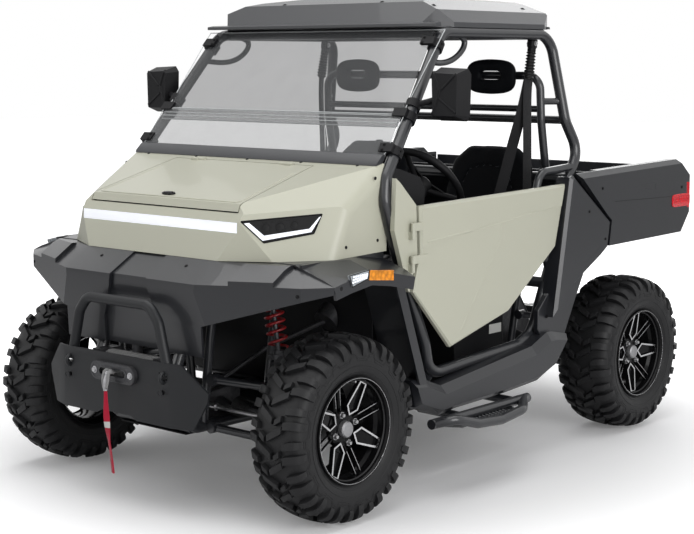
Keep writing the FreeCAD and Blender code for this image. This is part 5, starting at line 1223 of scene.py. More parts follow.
def makeLamps(c=lens):
    give = paintParts("front_lamps", ("deepBlack", "whiteLight", "whiteCells", "amberLens"))
    give(1, lambda p: abs(p.x) < c["barHalf"])
    give(2, lambda p: abs(p.x) > c["markerX"] and p.y < c["whiteBefore"])
    give(3, lambda p: abs(p.x) > c["markerX"] and p.y > c["amberAfter"])
    a, b, d = (Vector(p) for p in c["plane"])
    normal = (b - a).cross(d - a).normalized()
    normal = normal if normal.x > 0 else -normal
    corners = [Vector(p) for p in c["corners"]]
    corners = [p - normal * (p - a).dot(normal) for p in corners]
    along = (corners[1] - corners[0]).normalized()
    down = normal.cross(along)
    down = down if down.z < 0 else -down
    origin = corners[0]

    def at(u, v, lift):  # u along the top edge, v down the lens, in metres
        return origin + along * u + down * v + normal * lift

    flat = [((p - origin).dot(along), (p - origin).dot(down)) for p in corners]
    u0, v0 = flat[0]
    build = Build()
    strip = [[(flat[i][0] + u, flat[i][1] + v) for u, v in pair] for i, *pair in c["pipe"]]
    for (p, q), (r, s) in zip(strip, strip[1:]):
        build.slab([at(*p, 0.0004), at(*q, 0.0004), at(*s, 0.0004), at(*r, 0.0004)], normal * 0.0022, 0)
    # a raised black rim round the lens and the dark projector housings in it
    for i in range(4):
        (ua, va), (ub, vb) = flat[i], flat[(i + 1) % 4]
        build.rod(at(ua, va, 0.0002), at(ub, vb, 0.0002), c["rim"], 1, 8)
    for u, v, r in c["projectors"]:
        build.turned([(0.0002, r), (0.0022, r), (0.0022, r - 0.003), (0.0008, r - 0.004), (0.0016, 0.004),
                      (0.0018, 0.0)], at(u0 + u, v0 + v, 0), normal, along, 28, 2, False)
    for k in range(5):
        u = u0 + 0.075 + 0.026 * k
        build.slab([at(u, v0 + 0.008, 0.0004), at(u + 0.019, v0 + 0.008, 0.0004),
                    at(u + 0.017, v0 + 0.0105, 0.0004), at(u + 0.002, v0 + 0.0105, 0.0004)], normal * 0.001, 2)
    build.mirror()
    build.piece("lamp_light_pipes", ("whiteLight", "glossBlack", "deepBlack"), "chassis", "lamp", 30)
    # markers: a frame round each lens, and rows of cells in the white one
    trim = Build()
    for outline, white in ((c["whiteFrame"], True), (c["amberFrame"], False)):
        for i in range(4):
            trim.rod((c["frameX"], *outline[i]), (c["frameX"], *outline[(i + 1) % 4]), c["frame"], 0 if white else 2, 8)
        if white:
            for row in range(3):
                for k in range(7):
                    y = -1.0 + 0.0115 * k + 0.002 * row
                    z = 0.861 + 0.0095 * row + 0.0016 * k * (1 - row * 0.35)
                    trim.block((0.8118, y - 0.0042, z - 0.0033), (0.8132, y + 0.0042, z + 0.0033), 1)
    trim.mirror()
    trim.piece("marker_trim", ("glossBlack", "whiteLight", "amberLens"), "chassis", "lamp", 30)


makeLamps()
print("lamps made")


# hood: its latch, the lip along its front, a bead down each side, and the fasteners of the body round it
hood = {
    "frontY": -1.117,
    "frontZ": 1.111,
    "slope": 0.27825,
    "normal": (0, -0.268, 0.963),
    "down": (0, -0.963, -0.268),
    "lip": ((-0.372, -1.094), (-0.36, -1.104), (0.36, -1.104), (0.372, -1.094)),
    "beads": (((-0.372, -1.09), (-0.352, -0.80)), ((0.372, -1.09), (0.352, -0.80))),
    "latch": (-0.017, -1.078, 0.034, 0.0135),
    "screw": 0.0062,
    "backY": -0.688,
    "backFasteners": (-0.562, -0.28, 0.003, 0.285, 0.562),
    "sideFasteners": ((0.6695, -0.7145, 1.192), (0.6690, -0.7012, 0.9687), (0.6725, -0.8766, 0.959)),
}


def makeHood(h=hood):
    top = lambda y: h["frontZ"] + (y - h["frontY"]) * h["slope"]
    normal = Vector(h["normal"])
    fixed = Build()
    for x in h["backFasteners"]:
        screwAt(fixed, (x, h["backY"], top(h["backY"]) + 0.0004), normal, h["screw"])
    for x, y, z in h["sideFasteners"]:
        for side in (1, -1):
            screwAt(fixed, (x * side, y, z), (side, 0, 0), h["screw"])
    fixed.piece("body_fasteners", "matBlack", "chassis", "mechanical", 30)
    lid = Build()
    x, y, wide, tall = h["latch"]
    centre = Vector((x, y, top(y)))
    across, down = Vector((1, 0, 0)), Vector(h["down"])
    lid.loft([[centre + across * (wide * scale * math.cos(t)) + down * (tall * scale * math.sin(t)) + normal * lift
               for t in turns(32)]
              for scale, lift in ((1.0, -0.001), (1.0, 0.004), (0.93, 0.006), (0.80, 0.006), (0.76, 0.002),
                                  (0.4, 0.0015))])
    lid.slab([centre + across * x + down * y + normal * 0.0015 for x, y in
              ((-0.020, -0.004), (0.016, -0.006), (0.020, 0.003), (-0.016, 0.006))], normal * 0.006)
    # the lip stands a little proud along the front of the lid
    lid.pipe([(x, y, top(y) + 0.0002) for x, y in h["lip"]], 0.0035, 1, 10, (0, 0, 1), 1.6)
    for bead in h["beads"]:
        lid.pipe([(x, y, top(y) + 0.0002) for x, y in bead], 0.0016, 1, 8)
    lid.piece("hood_latch", ("glossBlack", "sagePaint"), "hood", "mechanical", 40)


makeHood()
print("hood made")


# screens: the lower sheet is clear; pale rods along the polished edges as a painted highlight, beads in the same pale
# finish over the foot of the upper sheet, a black cowl strip
screen = {
    "lean": (0.0, 0.628, 0.778),
    "face": (0.0, -0.778, 0.628),
    "lowHalf": 0.645,
    "highHalf": 0.630,
    "lowFoot": (-0.6415, 1.264),
    "lowTop": (-0.5215, 1.412),
    "highFoot": (-0.5515, 1.3675),
    "highTop": (-0.264, 1.722),
    "edge": 0.0032,
    "clearBelow": 1.364,
    "beads": ((0.014, 0.0018), (0.030, 0.0018), (0.047, 0.0014)),
    "beadLift": 0.006,
    "strip": ((-0.684, 1.2335), (-0.680, 1.243), (-0.652, 1.2685), (-0.641, 1.2725), (-0.634, 1.264),
              (-0.646, 1.246), (-0.654, 1.236)),
    "stripHalf": 0.648,
}


def makeScreens(s=screen):
    give = paintParts("windscreen", ("tintedScreen", "clearScreen"))
    # the lower sheet reaches up in front of the upper one, so there only faces in front of a leaning line are clear
    inFront = lambda p: p.y < -0.515 and (p.z - 1.264) > 1.233 * (p.y + 0.6455)
    give(1, lambda p: p.z < s["clearBelow"] or inFront(p))
    build = Build()
    lean = Vector(s["lean"])
    # the edge rods are pale: painted highlights along the sheets' edges
    for half, foot, top in ((s["lowHalf"], s["lowFoot"], s["lowTop"]), (s["highHalf"], s["highFoot"], s["highTop"])):
        for y, z in (foot, top):
            build.rod((-half, y, z), (half, y, z), s["edge"] * 0.8, 0, 8)
        for side in (1, -1):
            build.rod((side * half, *foot), (side * half, *top), s["edge"] * 0.6, 0, 8)
    foot = Vector((0, *s["highFoot"]))
    for k, thick in s["beads"]:
        line = foot + lean * k + Vector(s["face"]) * s["beadLift"]
        build.rod((-s["highHalf"], line.y, line.z), (s["highHalf"], line.y, line.z), thick, 0, 8)
    build.slab(sideways(s["strip"], -s["stripHalf"]), (2 * s["stripHalf"], 0, 0), 1)
    build.piece("screen_edges", ("screenEdge", "roofBlack"), "chassis", "black_plastic", 40)


# clamps: two screws through each tab, two pinch screws on each collar
clamps = {
    "centres": ((-0.597, 1.277), (-0.4505, 1.401), (-0.2865, 1.663)),
    "screwX": (0.6285, 0.622, 0.5655),
    "collarX": (0.668, 0.652, 0.612),
    "tabApart": 0.011,
    "pinchApart": 0.009,
    "from": 0.12,
}


def makeClampScrews(c=clamps):
    build = Build()
    lean, face = Vector(screen["lean"]), Vector(screen["face"])
    tree = nodeTree("screen_clamps")
    for (y, z), x, collarX in zip(c["centres"], c["screwX"], c["collarX"]):
        for along in (-c["tabApart"], c["tabApart"]):
            place, normal = meet(tree, Vector((x, y, z)) + lean * along + face * c["from"], -face)
            if place:
                screwAt(build, place, normal, 0.0066, 0, 0.005)
        place, normal = meet(tree, (collarX + c["from"], y, z), (-1, 0, 0))
        if place:
            for along in (-c["pinchApart"], c["pinchApart"]):
                spot = place + lean * along
                build.rod(spot - normal * 0.004, spot + normal * 0.0035, 0.0045, 0, 10)
    build.mirror()
    build.piece("clamp_screws", "deepBlack", "chassis", "mechanical", 40)


makeScreens()
makeClampScrews()
print("screens made")


# mirrors: raised ribs on the shells, a rim on the back with the glass set in it
mirror = {
    "ribs": (((0.722, 1.566), (0.750, 1.500), (0.742, 1.470), (0.716, 1.408)), ((0.824, 1.560), (0.758, 1.502)),
             ((0.750, 1.470), (0.824, 1.420)), ((0.744, 1.500), (0.744, 1.470))),
    "rib": 0.0042,
    "outline": ((0.706, 1.412), (0.702, 1.555), (0.716, 1.572), (0.830, 1.567), (0.841, 1.552), (0.837, 1.412),
                (0.826, 1.400), (0.718, 1.400)),
    "backY": -0.3925,
    "middle": (0.771, 1.486),
}


def makeMirrors(m=mirror):
    tree = nodeTree("mirrors")
    build = Build()
    for line in m["ribs"]:
        stations = facing(line, 0)
        path = [meet(tree, (p.x, -0.6, p.z), (0, 1, 0))[0] for p in between(stations, 8) + stations[-1:]]
        path = [place for place in path if place]
        if len(path) > 2:
            build.pipe(path, m["rib"], 0, 8, (0, 1, 0), 1.3)
    outline = smoothed(between(facing(m["outline"] + m["outline"][:1], m["backY"]), 6), 3)
    centre = facing([m["middle"]], m["backY"])[0]
    build.loft(scaledRings(outline, centre, (0, 1, 0), ((1.0, -0.001), (1.0, 0.0012), (0.965, 0.0012),
                                                        (0.955, -0.0005))), 0)
    build.slab([centre + (p - centre) * 0.957 for p in outline], (0, 0.0006, 0), 1)
    build.mirror()
    build.piece("mirror_details", ("matBlack", "mirrorGlass"), "chassis", "black_plastic", 35)


makeMirrors()
print("mirrors made")


# belts: reel housing, ribbed bellows, webbing down to the hip and across to the buckle
belts = {
    "boot": ((0.568, 0.402, 1.668), (0.571, 0.376, 1.530)),
    "low": (0.566, 0.385, 0.965),
    "shoulder": (0.512, 0.343, 1.238),
    "buckle": (0.450, 0.238, 0.868),
    # each part of the housing: start and end along the belt, half width and half depth
    "housing": ((-0.030, 0.012, 0.0165, 0.021), (0.008, 0.030, 0.0135, 0.018)),
    "ribs": 9,
    "ribRadii": (0.0155, 0.0215, 0.0225, 0.0165),
    "bootStart": 0.026,
    "width": 0.0225,
    # the webbing's outline: share of the half width, then half thickness
    "band": ((-1, -0.0007), (-0.86, -0.0013), (0.86, -0.0013), (1, -0.0007), (1, 0.0007), (0.86, 0.0013),
             (-0.86, 0.0013), (-1, 0.0007)),
    "clasp": ((-0.026, -0.03), (0.026, -0.03), (0.030, 0.012), (-0.030, 0.012)),
    "button": ((-0.012, -0.004), (0.012, -0.004), (0.012, 0.006), (-0.012, 0.006)),
}


def makeBelts(b=belts):
    build = Build()
    bootTop, bootLow = (Vector(p) for p in b["boot"])
    axis = (bootLow - bootTop).normalized()
    length = (bootLow - bootTop).length
    # housing with a bolt through its bracket
    across = Vector((0, 1, 0))
    side = axis.cross(across).normalized()
    across = side.cross(axis)
    for start, end, wide, deep in b["housing"]:
        build.loft([[bootTop + axis * t + side * (wide * scale * bent(math.cos(a), 0.6))
                     + across * (deep * scale * bent(math.sin(a), 0.6)) for a in turns(24)]
                    for t, scale in ((start, 0.8), (start + 0.006, 1.0), (end - 0.006, 1.0), (end, 0.8))], 0)
    for out in (-side, side):
        boltAt(build, bootTop + out * 0.0165 - axis * 0.008, out, 0.008, 3)
    rings = []
    for k in range(b["ribs"] * 4 + 1):
        t = k / (b["ribs"] * 4)
        radius = b["ribRadii"][k % 4] + 0.0035 * t
        if t > 0.9:
            radius *= 0.9
        centre = bootTop + axis * (b["bootStart"] + (length - b["bootStart"]) * t)
        rings.append([centre + side * (radius * 0.82 * math.cos(a)) + across * (radius * math.sin(a))
                      for a in turns(24)])
    build.loft(rings, 1)

    def band(points, normalTo, wide=b["width"]):
        path = [Vector(p) for p in splined([tuple(p) for p in points], 10)]
        rings = []
        for i, p in enumerate(path):
            ahead = aheadAt(path, i)
            flat = Vector(normalTo(i / (len(path) - 1)))
            flat = (flat - ahead * flat.dot(ahead)).normalized()
            deep = ahead.cross(flat)
            rings.append([p + flat * (wide * share) + deep * d for share, d in b["band"]])
        build.loft(rings, 2)

    band([bootLow - axis * 0.01, Vector((0.569, 0.372, 1.45)), Vector((0.568, 0.380, 1.20)), Vector(b["low"])],
         lambda t: (0.25, 1.0, 0))
    band([bootLow - axis * 0.012, Vector((0.550, 0.360, 1.40)), Vector(b["shoulder"]), Vector((0.486, 0.300, 1.06)),
          Vector(b["buckle"])], lambda t: (0.35 + 0.65 * t, 0.94 - 0.7 * t, 0))
    build.slab(facing(b["clasp"], -0.012, b["buckle"]), (0, 0.018, 0), 0)
    # the buckle's red button takes the glowing red lamp finish: a painted glow on a part that is no lamp
    build.slab(facing(b["button"], -0.0145, b["buckle"]), (0, 0.004, 0), 4)
    build.mirror()
    build.piece("belts_and_reels", ("matBlack", "sealRubber", "webbing", "zinc", "redLens"), "chassis", "webbing", 35,
                ("seat_belts",))


# grab loops from the roof header to each front pillar
grab = {
    "line": ((0.587, -0.160, 1.7135), (0.585, -0.090, 1.690), (0.585, -0.085, 1.662), (0.585, -0.118, 1.630),
             (0.586, -0.170, 1.607), (0.589, -0.235, 1.598), (0.602, -0.318, 1.603)),
    "radius": 0.0115,
}


def makeGrabLoops(g=grab):
    build = Build()
    build.pipe(splined(list(g["line"]), 8), g["radius"], 0, 12)
    build.mirror()
    build.piece("grab_loops", "powder", "chassis", "tube", 60)


makeBelts()
makeGrabLoops()
print("belts and grab loops made")


# roof: a pressed flange along the front, a lip behind, pressed ribs and bolts
roofTrim = {
    "flange": ((-0.300, 1.7345), (-0.300, 1.7465), (-0.268, 1.7520), (-0.262, 1.7345)),
    "lip": ((0.494, 1.7345), (0.494, 1.7445), (0.508, 1.7445), (0.512, 1.7345)),
    "half": 0.612,
    "lipShort": 0.03,
    "bolts": ((0.262, -0.192), (0.520, -0.192), (0.262, 0.400), (0.520, 0.400)),
    "above": 2.2,
    "ribs": (-0.36, -0.12, 0.12, 0.36),
    "ribStart": -0.12,
    "ribLength": 0.50,
    "rib": 0.0055,
    "ribSunk": 0.0054,
}


def makeRoofTrim(r=roofTrim):
    tree = nodeTree("roof")
    build = Build()
    for outline, half in ((r["flange"], r["half"]), (r["lip"], r["half"] - r["lipShort"])):
        build.slab(sideways(outline, -half), (2 * half, 0, 0), 0)
    for x, y in r["bolts"]:
        for side in (1, -1):
            place, normal = meet(tree, (x * side, y, r["above"]), (0, 0, -1))
            if place:
                screwAt(build, place, normal, 0.0095, 1, 0.004)
    for x in r["ribs"]:
        line = [meet(tree, (x, r["ribStart"] + r["ribLength"] * k / 12, r["above"]), (0, 0, -1))[0] for k in range(13)]
        line = [place - Vector((0, 0, r["ribSunk"])) for place in line if place]
        if len(line) > 2:
            build.pipe(line, r["rib"], 0, 12, (0, 0, 1), 2.6)
    piece = build.piece("roof_trim", ("roofBlack", "deepBlack"), "chassis", "charcoal", 35)
    bevelled(piece, 0.0012, 2, 50)


makeRoofTrim()
print("roof trimmed")


# cladding: fasteners found on the panels, a knob on each front panel, a dark bead along each bed side's groove as
# painted shade
cladding = {
    "screws": (((0.2282, -1.2250, 0.8905), (0, -0.55, 0.84)), ((0.6288, -1.0925, 0.9080), (0, -0.85, 0.5)),
               ((0.7091, -1.1665, 0.8209), (0.34, -0.94, 0)), ((0.7175, 0.3175, 0.5699), (0, -0.98, 0.18)),
               ((0.760, 0.690, 0.860), (1, 0, 0)), ((0.760, 0.560, 0.985), (1, 0, 0)),
               ((0.760, 1.330, 1.040), (1, 0, 0)), ((0.760, 0.660, 1.075), (1, 0, 0))),
    "knob": ((0.809, -1.0562, 0.8462), (1, 0, 0)),
    "groove": ((0.7597, 0.760, 1.0135), (0.7597, 1.236, 1.0035)),
}


def makeCladdingTrim(c=cladding):
    build = Build()
    trees = [nodeTree(name) for name in ("front_cladding", "side_cladding", "bed_sides", "front_body")]
    for place, normal in c["screws"]:
        place, normal = Vector(place), Vector(normal).normalized()
        hits = [tree.ray_cast(place + normal * 0.03, -normal, 0.06)[:2] for tree in trees]
        hits = [hit for hit in hits if hit[0]]
        if hits:
            spot, out = max(hits, key=lambda hit: hit[0].dot(normal))
            screwAt(build, spot, out if out.dot(normal) > 0 else -out, 0.0068, 0, 0.0032)
    place, normal = c["knob"]
    build.turned([(-0.001, 0.0), (-0.001, 0.011), (0.0012, 0.0105), (0.002, 0.0)],
                 Vector(place) - Vector((0.0014, 0, 0)), normal, (0, 0, 1), 24, 0, False)
    # the groove along each bed side is a dark rod, darker than the panel: painted shade
    start, end = (Vector(p) for p in c["groove"])
    build.rod(start, end, 0.0013, 0, 8)
    build.mirror()
    build.piece("cladding_fasteners", ("deepBlack", "charcoal"), "chassis", "mechanical", 40)


# rear lamps: a lens on each side face with bars across it, and upright bars on the rear face
tailLamp = {
    "redFrom": 1.2,
    "side": (1.243, 1.4015, 0.953, 1.0105),
    "face": 0.7602,
    "rows": 5,
    "rear": (0.718, 0.011, 4, 1.4018, 0.955, 1.050),
}


def makeTailLamps(t=tailLamp):
    give = paintParts("tail_lamps", ("redLens", "charcoal"))
    give(1, lambda p: p.y < t["redFrom"])
    y0, y1, z0, z1 = t["side"]
    build = Build()
    corners = ((y0, z0), (y1, z0), (y1, z1), (y0, z1), (y0, z0))
    outline = smoothed(between(sideways(corners, t["face"]), 10), 4)
    centre = Vector((t["face"], (y0 + y1) / 2, (z0 + z1) / 2))
    build.loft(scaledRings(outline, centre, (1, 0, 0), ((1.0, -0.001), (1.0, 0.0016), (0.96, 0.0026),
                                                        (0.95, 0.0024))), 0)
    for k in range(t["rows"]):
        z = z0 + (z1 - z0) * (k + 0.5) / t["rows"]
        build.rod((t["face"] + 0.0024, y0 + 0.006, z), (t["face"] + 0.0024, y1 - 0.006, z), 0.0016, 1, 6)
    firstX, apart, count, y, low, high = t["rear"]
    for k in range(count):
        x = firstX + apart * k
        build.rod((x, y, low), (x, y, high), 0.0014, 1, 6)
    build.mirror()
    build.piece("tail_lamp_lenses", ("redLens", "redLens"), "bed", "red_lamp", 35)


makeCladdingTrim()
makeTailLamps()
print("cladding and rear lamps trimmed")


# bed: pressed floor ribs and tie-down hooks along the inner rails
bed = {
    "half": 0.66,
    "front": 0.70,
    "rear": 1.375,
    "ribs": 13,
    "rib": ((-0.016, 0.0), (-0.012, 0.0055), (0.012, 0.0055), (0.016, 0.0)),
    "ribSunk": 0.001,
    "hooks": (0.80, 1.02, 1.24),
    "hookFrom": (0.60, 1.075),
    "hook": ((0.002, -0.022, 0.008), (-0.014, -0.022, 0.008), (-0.018, 0.0, 0.009), (-0.014, 0.022, 0.008),
             (0.002, 0.022, 0.008)),
    "hookPlate": ((-0.034, -0.008), (0.034, -0.008), (0.034, 0.022), (-0.034, 0.022)),
}


def makeBedLiner(b=bed):
    tree = nodeTree("bed_tub")
    build = Build()
    for k in range(b["ribs"]):
        x = -b["half"] + 2 * b["half"] * (k + 0.5) / b["ribs"]
        ends = [meet(tree, (x, y, 1.6), (0, 0, -1))[0] for y in (b["front"], b["rear"])]
        ends = [place - Vector((0, 0, b["ribSunk"])) for place in ends if place]
        if len(ends) == 2:
            build.loft([[p + Vector((a, 0, h)) for a, h in b["rib"]] for p in ends], 0)
    fromX, fromZ = b["hookFrom"]
    for y in b["hooks"]:
        place = meet(tree, (fromX, y, fromZ), (1, 0, 0))[0]
        if place:
            build.pipe(splined([tuple(place + Vector(d)) for d in b["hook"]], 6), 0.0038, 1, 10)
            build.slab(sideways(b["hookPlate"], -0.0004, place), (-0.002, 0, 0), 1)
    build.mirror()
    build.piece("bed_liner_ribs", ("charcoal", "powder"), "bed", "charcoal", 35)


# tailgate: a bead frame and cross beads on its rear face, the sunk pull handle
gate = {
    "rearY": 1.4212,
    "inward": 0.0013,
    "bead": 0.0022,
    "panel": (0.50, 0.872, 1.070),
    "handle": (0.085, 1.098, 0.020),
    "grip": ((-0.062, -0.007), (0.062, -0.007), (0.060, 0.009), (-0.060, 0.009)),
}


def makeGate(g=gate):
    build = Build()
    half, low, high = g["panel"]
    place = meet(nodeTree("tailgate"), (0.2, 1.6, 0.98), (0, -1, 0))[0]
    rear = place.y - g["inward"] if place else g["rearY"]
    skin = rear + 0.0016
    frame = facing(((-half, low), (half, low), (half, high), (-half, high), (-half, low)), rear)
    line = smoothed(between(frame, 20), 6)
    build.pipe(line + line[:1], g["bead"], 0, 8, (0, 1, 0), 1.8)
    for k in range(3):
        z = low + (high - low) * (k + 1) / 4
        build.rod((-half + 0.05, rear - 0.0006, z), (half - 0.05, rear - 0.0006, z), g["bead"], 0, 8)
    wide, z, tall = g["handle"]
    cup = [Vector((wide * bent(math.cos(a), 0.4), skin, z + tall * bent(math.sin(a), 0.5))) for a in turns(40)]
    centre = Vector((0, skin, z))
    build.loft(scaledRings(cup, centre, (0, 1, 0), ((1.0, -0.001), (0.985, 0.0), (0.93, 0.0), (0.90, -0.0008))), 1)
    build.slab(facing(g["grip"], -0.0006, centre), (0, 0.0006, 0), 2)
    build.piece("tailgate_handle", ("charcoal", "deepBlack", "matBlack"), "tailgate", "charcoal", 35)


makeBedLiner()
makeGate()
print("bed and tailgate detailed")


# steps: rings pressed up round the drain holes of each tread, each hole a dark disc as painted shade
step = {
    "rows": (0.800, 0.818, 0.836),
    "start": -0.405,
    "end": -0.075,
    "count": 15,
    "ring": ((-0.0005, 0.0078), (0.0026, 0.0062), (0.0026, 0.0046), (-0.0005, 0.0040)),
    "hole": ((0.0003, 0.0040), (0.0003, 0.0)),
}


def makeStepTreads(s=step):
    tree = nodeTree("side_steps")
    build = Build()
    for i, x in enumerate(s["rows"]):
        for k in range(s["count"]):
            y = s["start"] + (s["end"] - s["start"]) * (k + 0.5 * (i % 2)) / s["count"]
            place, normal = meet(tree, (x, y, 0.40), (0, 0, -1))
            if place and normal.z > 0.9:
                build.turned(s["ring"], place, (0, 0, 1), (1, 0, 0), 14, 0)
                # the hole is not cut: a dark disc in it is painted shade
                build.turned(s["hole"], place, (0, 0, 1), (1, 0, 0), 14, 1, False)
    build.mirror()
    build.piece("step_treads", ("powder", "deepBlack"), "chassis", "tube", 30)


makeStepTreads()
print("steps treaded")


# dash: the gauge pod, switches, key barrel and socket, a seamed panel on the right with its pull, vents
dash = {
    "podCentre": (0.340, -0.448, 1.168),
    "podAxis": (0, 0.84, 0.54),
    "podUp": (0, -0.54, 0.84),
    # half width, half height and depth of each loop of the pod and of its dark face
    "pod": ((0.088, 0.050, -0.03), (0.093, 0.055, 0.010), (0.091, 0.053, 0.018), (0.083, 0.045, 0.018),
            (0.080, 0.042, 0.012)),
    "podFace": ((0.079, 0.041, 0.0122), (0.079, 0.041, 0.0132)),
    "dials": ((-0.038, 0.024), (0.038, 0.024)),
    "switches": (-0.075, -0.030, 0.015, 0.060, 0.105),
    "switchZ": 1.112,
    "sockets": ((0.17, 1.085), (-0.105, 1.04)),
    "socket": ((-0.002, 0.0), (-0.002, 0.015), (0.004, 0.015), (0.006, 0.012), (0.003, 0.010), (0.003, 0.0)),
    "seams": ((-0.56, -0.14), (1.060, 1.150)),
    "plate": ((-0.035, -0.009), (0.035, -0.009), (0.032, 0.009), (-0.032, 0.009)),
    "ventsX": (-0.60, 0.60),
}


def makeDash(d=dash):
    tree = nodeTree("dashboard")
    build = Build()

    def onDash(x, z, lift=0.0):
        place, normal = meet(tree, (x, 0.2, z), (0, -1, 0))
        return place + normal * lift, normal

    pod, axis, up = (Vector(d[key]) for key in ("podCentre", "podAxis", "podUp"))
    side = Vector((1, 0, 0))
    ring = lambda half, tall, depth: [pod + side * (half * bent(math.cos(a), 0.55))
                                      + up * (tall * bent(math.sin(a), 0.7)) + axis * depth for a in turns(40)]
    build.loft([ring(*loop) for loop in d["pod"]], 0)
    build.loft([ring(*loop) for loop in d["podFace"]], 1)
    for x, size in d["dials"]:
        centre = pod + side * x + axis * 0.0134
        build.turned([(0, size), (0.0012, size), (0.0012, size - 0.002), (0, size - 0.002)], centre, axis, up, 32, 2)
        for k in range(9):
            a = math.radians(-120 + 30 * k)
            foot, tip = (centre + (up * math.cos(a) + side * math.sin(a)) * (size - inset) + axis * 0.0004
                         for inset in (0.0065, 0.0035))
            build.rod(foot, tip, 0.0005, 2, 5)
        # each needle takes the glowing red lamp finish: a painted glow on a part that is no lamp
        base = centre + axis * 0.0008
        build.rod(base, base + (up * 0.6 - side * 0.7) * (size - 0.008), 0.0007, 4, 5)
    for x in d["switches"]:
        place = onDash(x, d["switchZ"])[0]
        low, high = place + Vector((-0.014, 0, -0.011)), place + Vector((0.014, 0, 0.011))
        for inset, lift, depth, finish in ((0, -0.001, 0.0035, 0), (0.003, 0.002, 0.004, 3)):
            x0, x1, z0, z1 = low.x + inset, high.x - inset, low.z + inset, high.z - inset
            build.slab([(x0, place.y + lift, z0), (x1, place.y + lift, z0), (x1, place.y + lift, z1),
                        (x0, place.y + lift, z1)], (0, depth, 0), finish)
    for x, z in d["sockets"]:
        place, normal = onDash(x, z)
        build.turned(d["socket"], place, normal, (1, 0, 0), 28, 3, False)
    (x0, x1), (z0, z1) = d["seams"]
    corners = ((x0, z0), (x1, z0), (x1, z1), (x0, z1), (x0, z0))
    line = [onDash(x, z, 0.0002)[0] for x, _, z in smoothed(between(facing(corners, 0), 16), 4)]
    build.pipe(line + line[:1], 0.0018, 3, 8)
    place = onDash((x0 + x1) / 2, z1 - 0.018)[0]
    build.slab(facing(d["plate"], -0.001, place), (0, 0.006, 0), 3)
    for x in d["ventsX"]:
        for k in range(5):
            spot = onDash(x, 1.080 + 0.010 * k)[0]
            build.rod(spot + Vector((-0.03, 0.001, 0)), spot + Vector((0.03, 0.001, 0)), 0.0022, 3, 8)
    piece = build.piece("dash_controls", ("matBlack", "glossBlack", "zinc", "deepBlack", "redLens"), "chassis",
                        "black_plastic", 30)
    bevelled(piece, 0.0007, 1, 50)


# steering wheel: hub cover, spoke bosses and the moulded grips on its ring
helm = {
    "centre": (0.340, -0.025, 1.117),
    "axis": (0.0, 0.767, 0.642),
    "ring": 0.172,
    "tube": 0.0152,
    "swollen": 1.12,
    "grips": ((20, 70), (110, 160), (200, 250), (290, 340)),
    "cover": ((-0.030, 0.0405), (-0.012, 0.046), (0.0, 0.043), (0.006, 0.036), (0.0075, 0.02), (0.008, 0.0)),
    "coverRing": ((0.0078, 0.026), (0.0098, 0.0245), (0.0098, 0.022), (0.0078, 0.0205)),
    "bosses": (90, 210, 330),
    "boss": ((0.030, -0.020), (0.105, -0.012), (0.105, 0.012), (0.030, 0.020)),
}


def makeHelm(h=helm):
    centre, axis = Vector(h["centre"]), Vector(h["axis"])
    side = Vector((1, 0, 0))
    up = axis.cross(side)
    build = Build()
    build.turned(h["cover"], centre, axis, side, 40, 0, False)
    build.turned(h["coverRing"], centre, axis, side, 40, 1)
    for start, end in h["grips"]:
        rings = []
        for i in range(13):
            a = math.radians(start + (end - start) * i / 12)
            place = centre + side * math.cos(a) * h["ring"] + up * math.sin(a) * h["ring"]
            out = side * math.cos(a) + up * math.sin(a)
            rings.append(circle(place, out, axis, h["tube"] * (1.0 if i in (0, 12) else h["swollen"]), 16))
        build.loft(rings, 0)
    for angle in h["bosses"]:
        a = math.radians(angle)
        out = side * math.cos(a) - up * math.sin(a)
        build.slab([centre + out * r + out.cross(axis) * t + axis * (-0.004 - 0.10 * (r - 0.03)) for r, t in h["boss"]],
                   axis * 0.006, 0)
    build.piece("steering_wheel_trim", ("matBlack", "zinc"), "steering_wheel", "black_plastic", 35)


makeDash()
makeHelm()
print("controls made")


# drive units: cast ribs and cover bolts found on the cases, a blank plate, and bellows on the axle ends
drive = {
    "rear": ((-0.12, -0.06, 0.0, 0.06, 0.12), (0.33, 0.56)),
    "side": ((0.30, 0.335, 0.37, 0.405), (0.10, 0.46)),
    "steelBeyond": 0.6,
    "steps": 14,
    "rearFrom": 1.6,
    "rearBeyond": 0.9,
    "sideFrom": 0.9,
    "sideBeyond": 0.3,
    "plate": (0.2346, 0.5103, 0.042, 0.019),
    "boots": (0.245, 0.504),
    "bootHalf": 0.036,
    "bootRadius": 0.040,
    "bootFolds": 6,
}


def middleAt(points, level):  # the mean of the points near an x
    near = [p for p in points if abs(p.x - level) < 0.02]
    return sum(near, Vector()) / len(near)


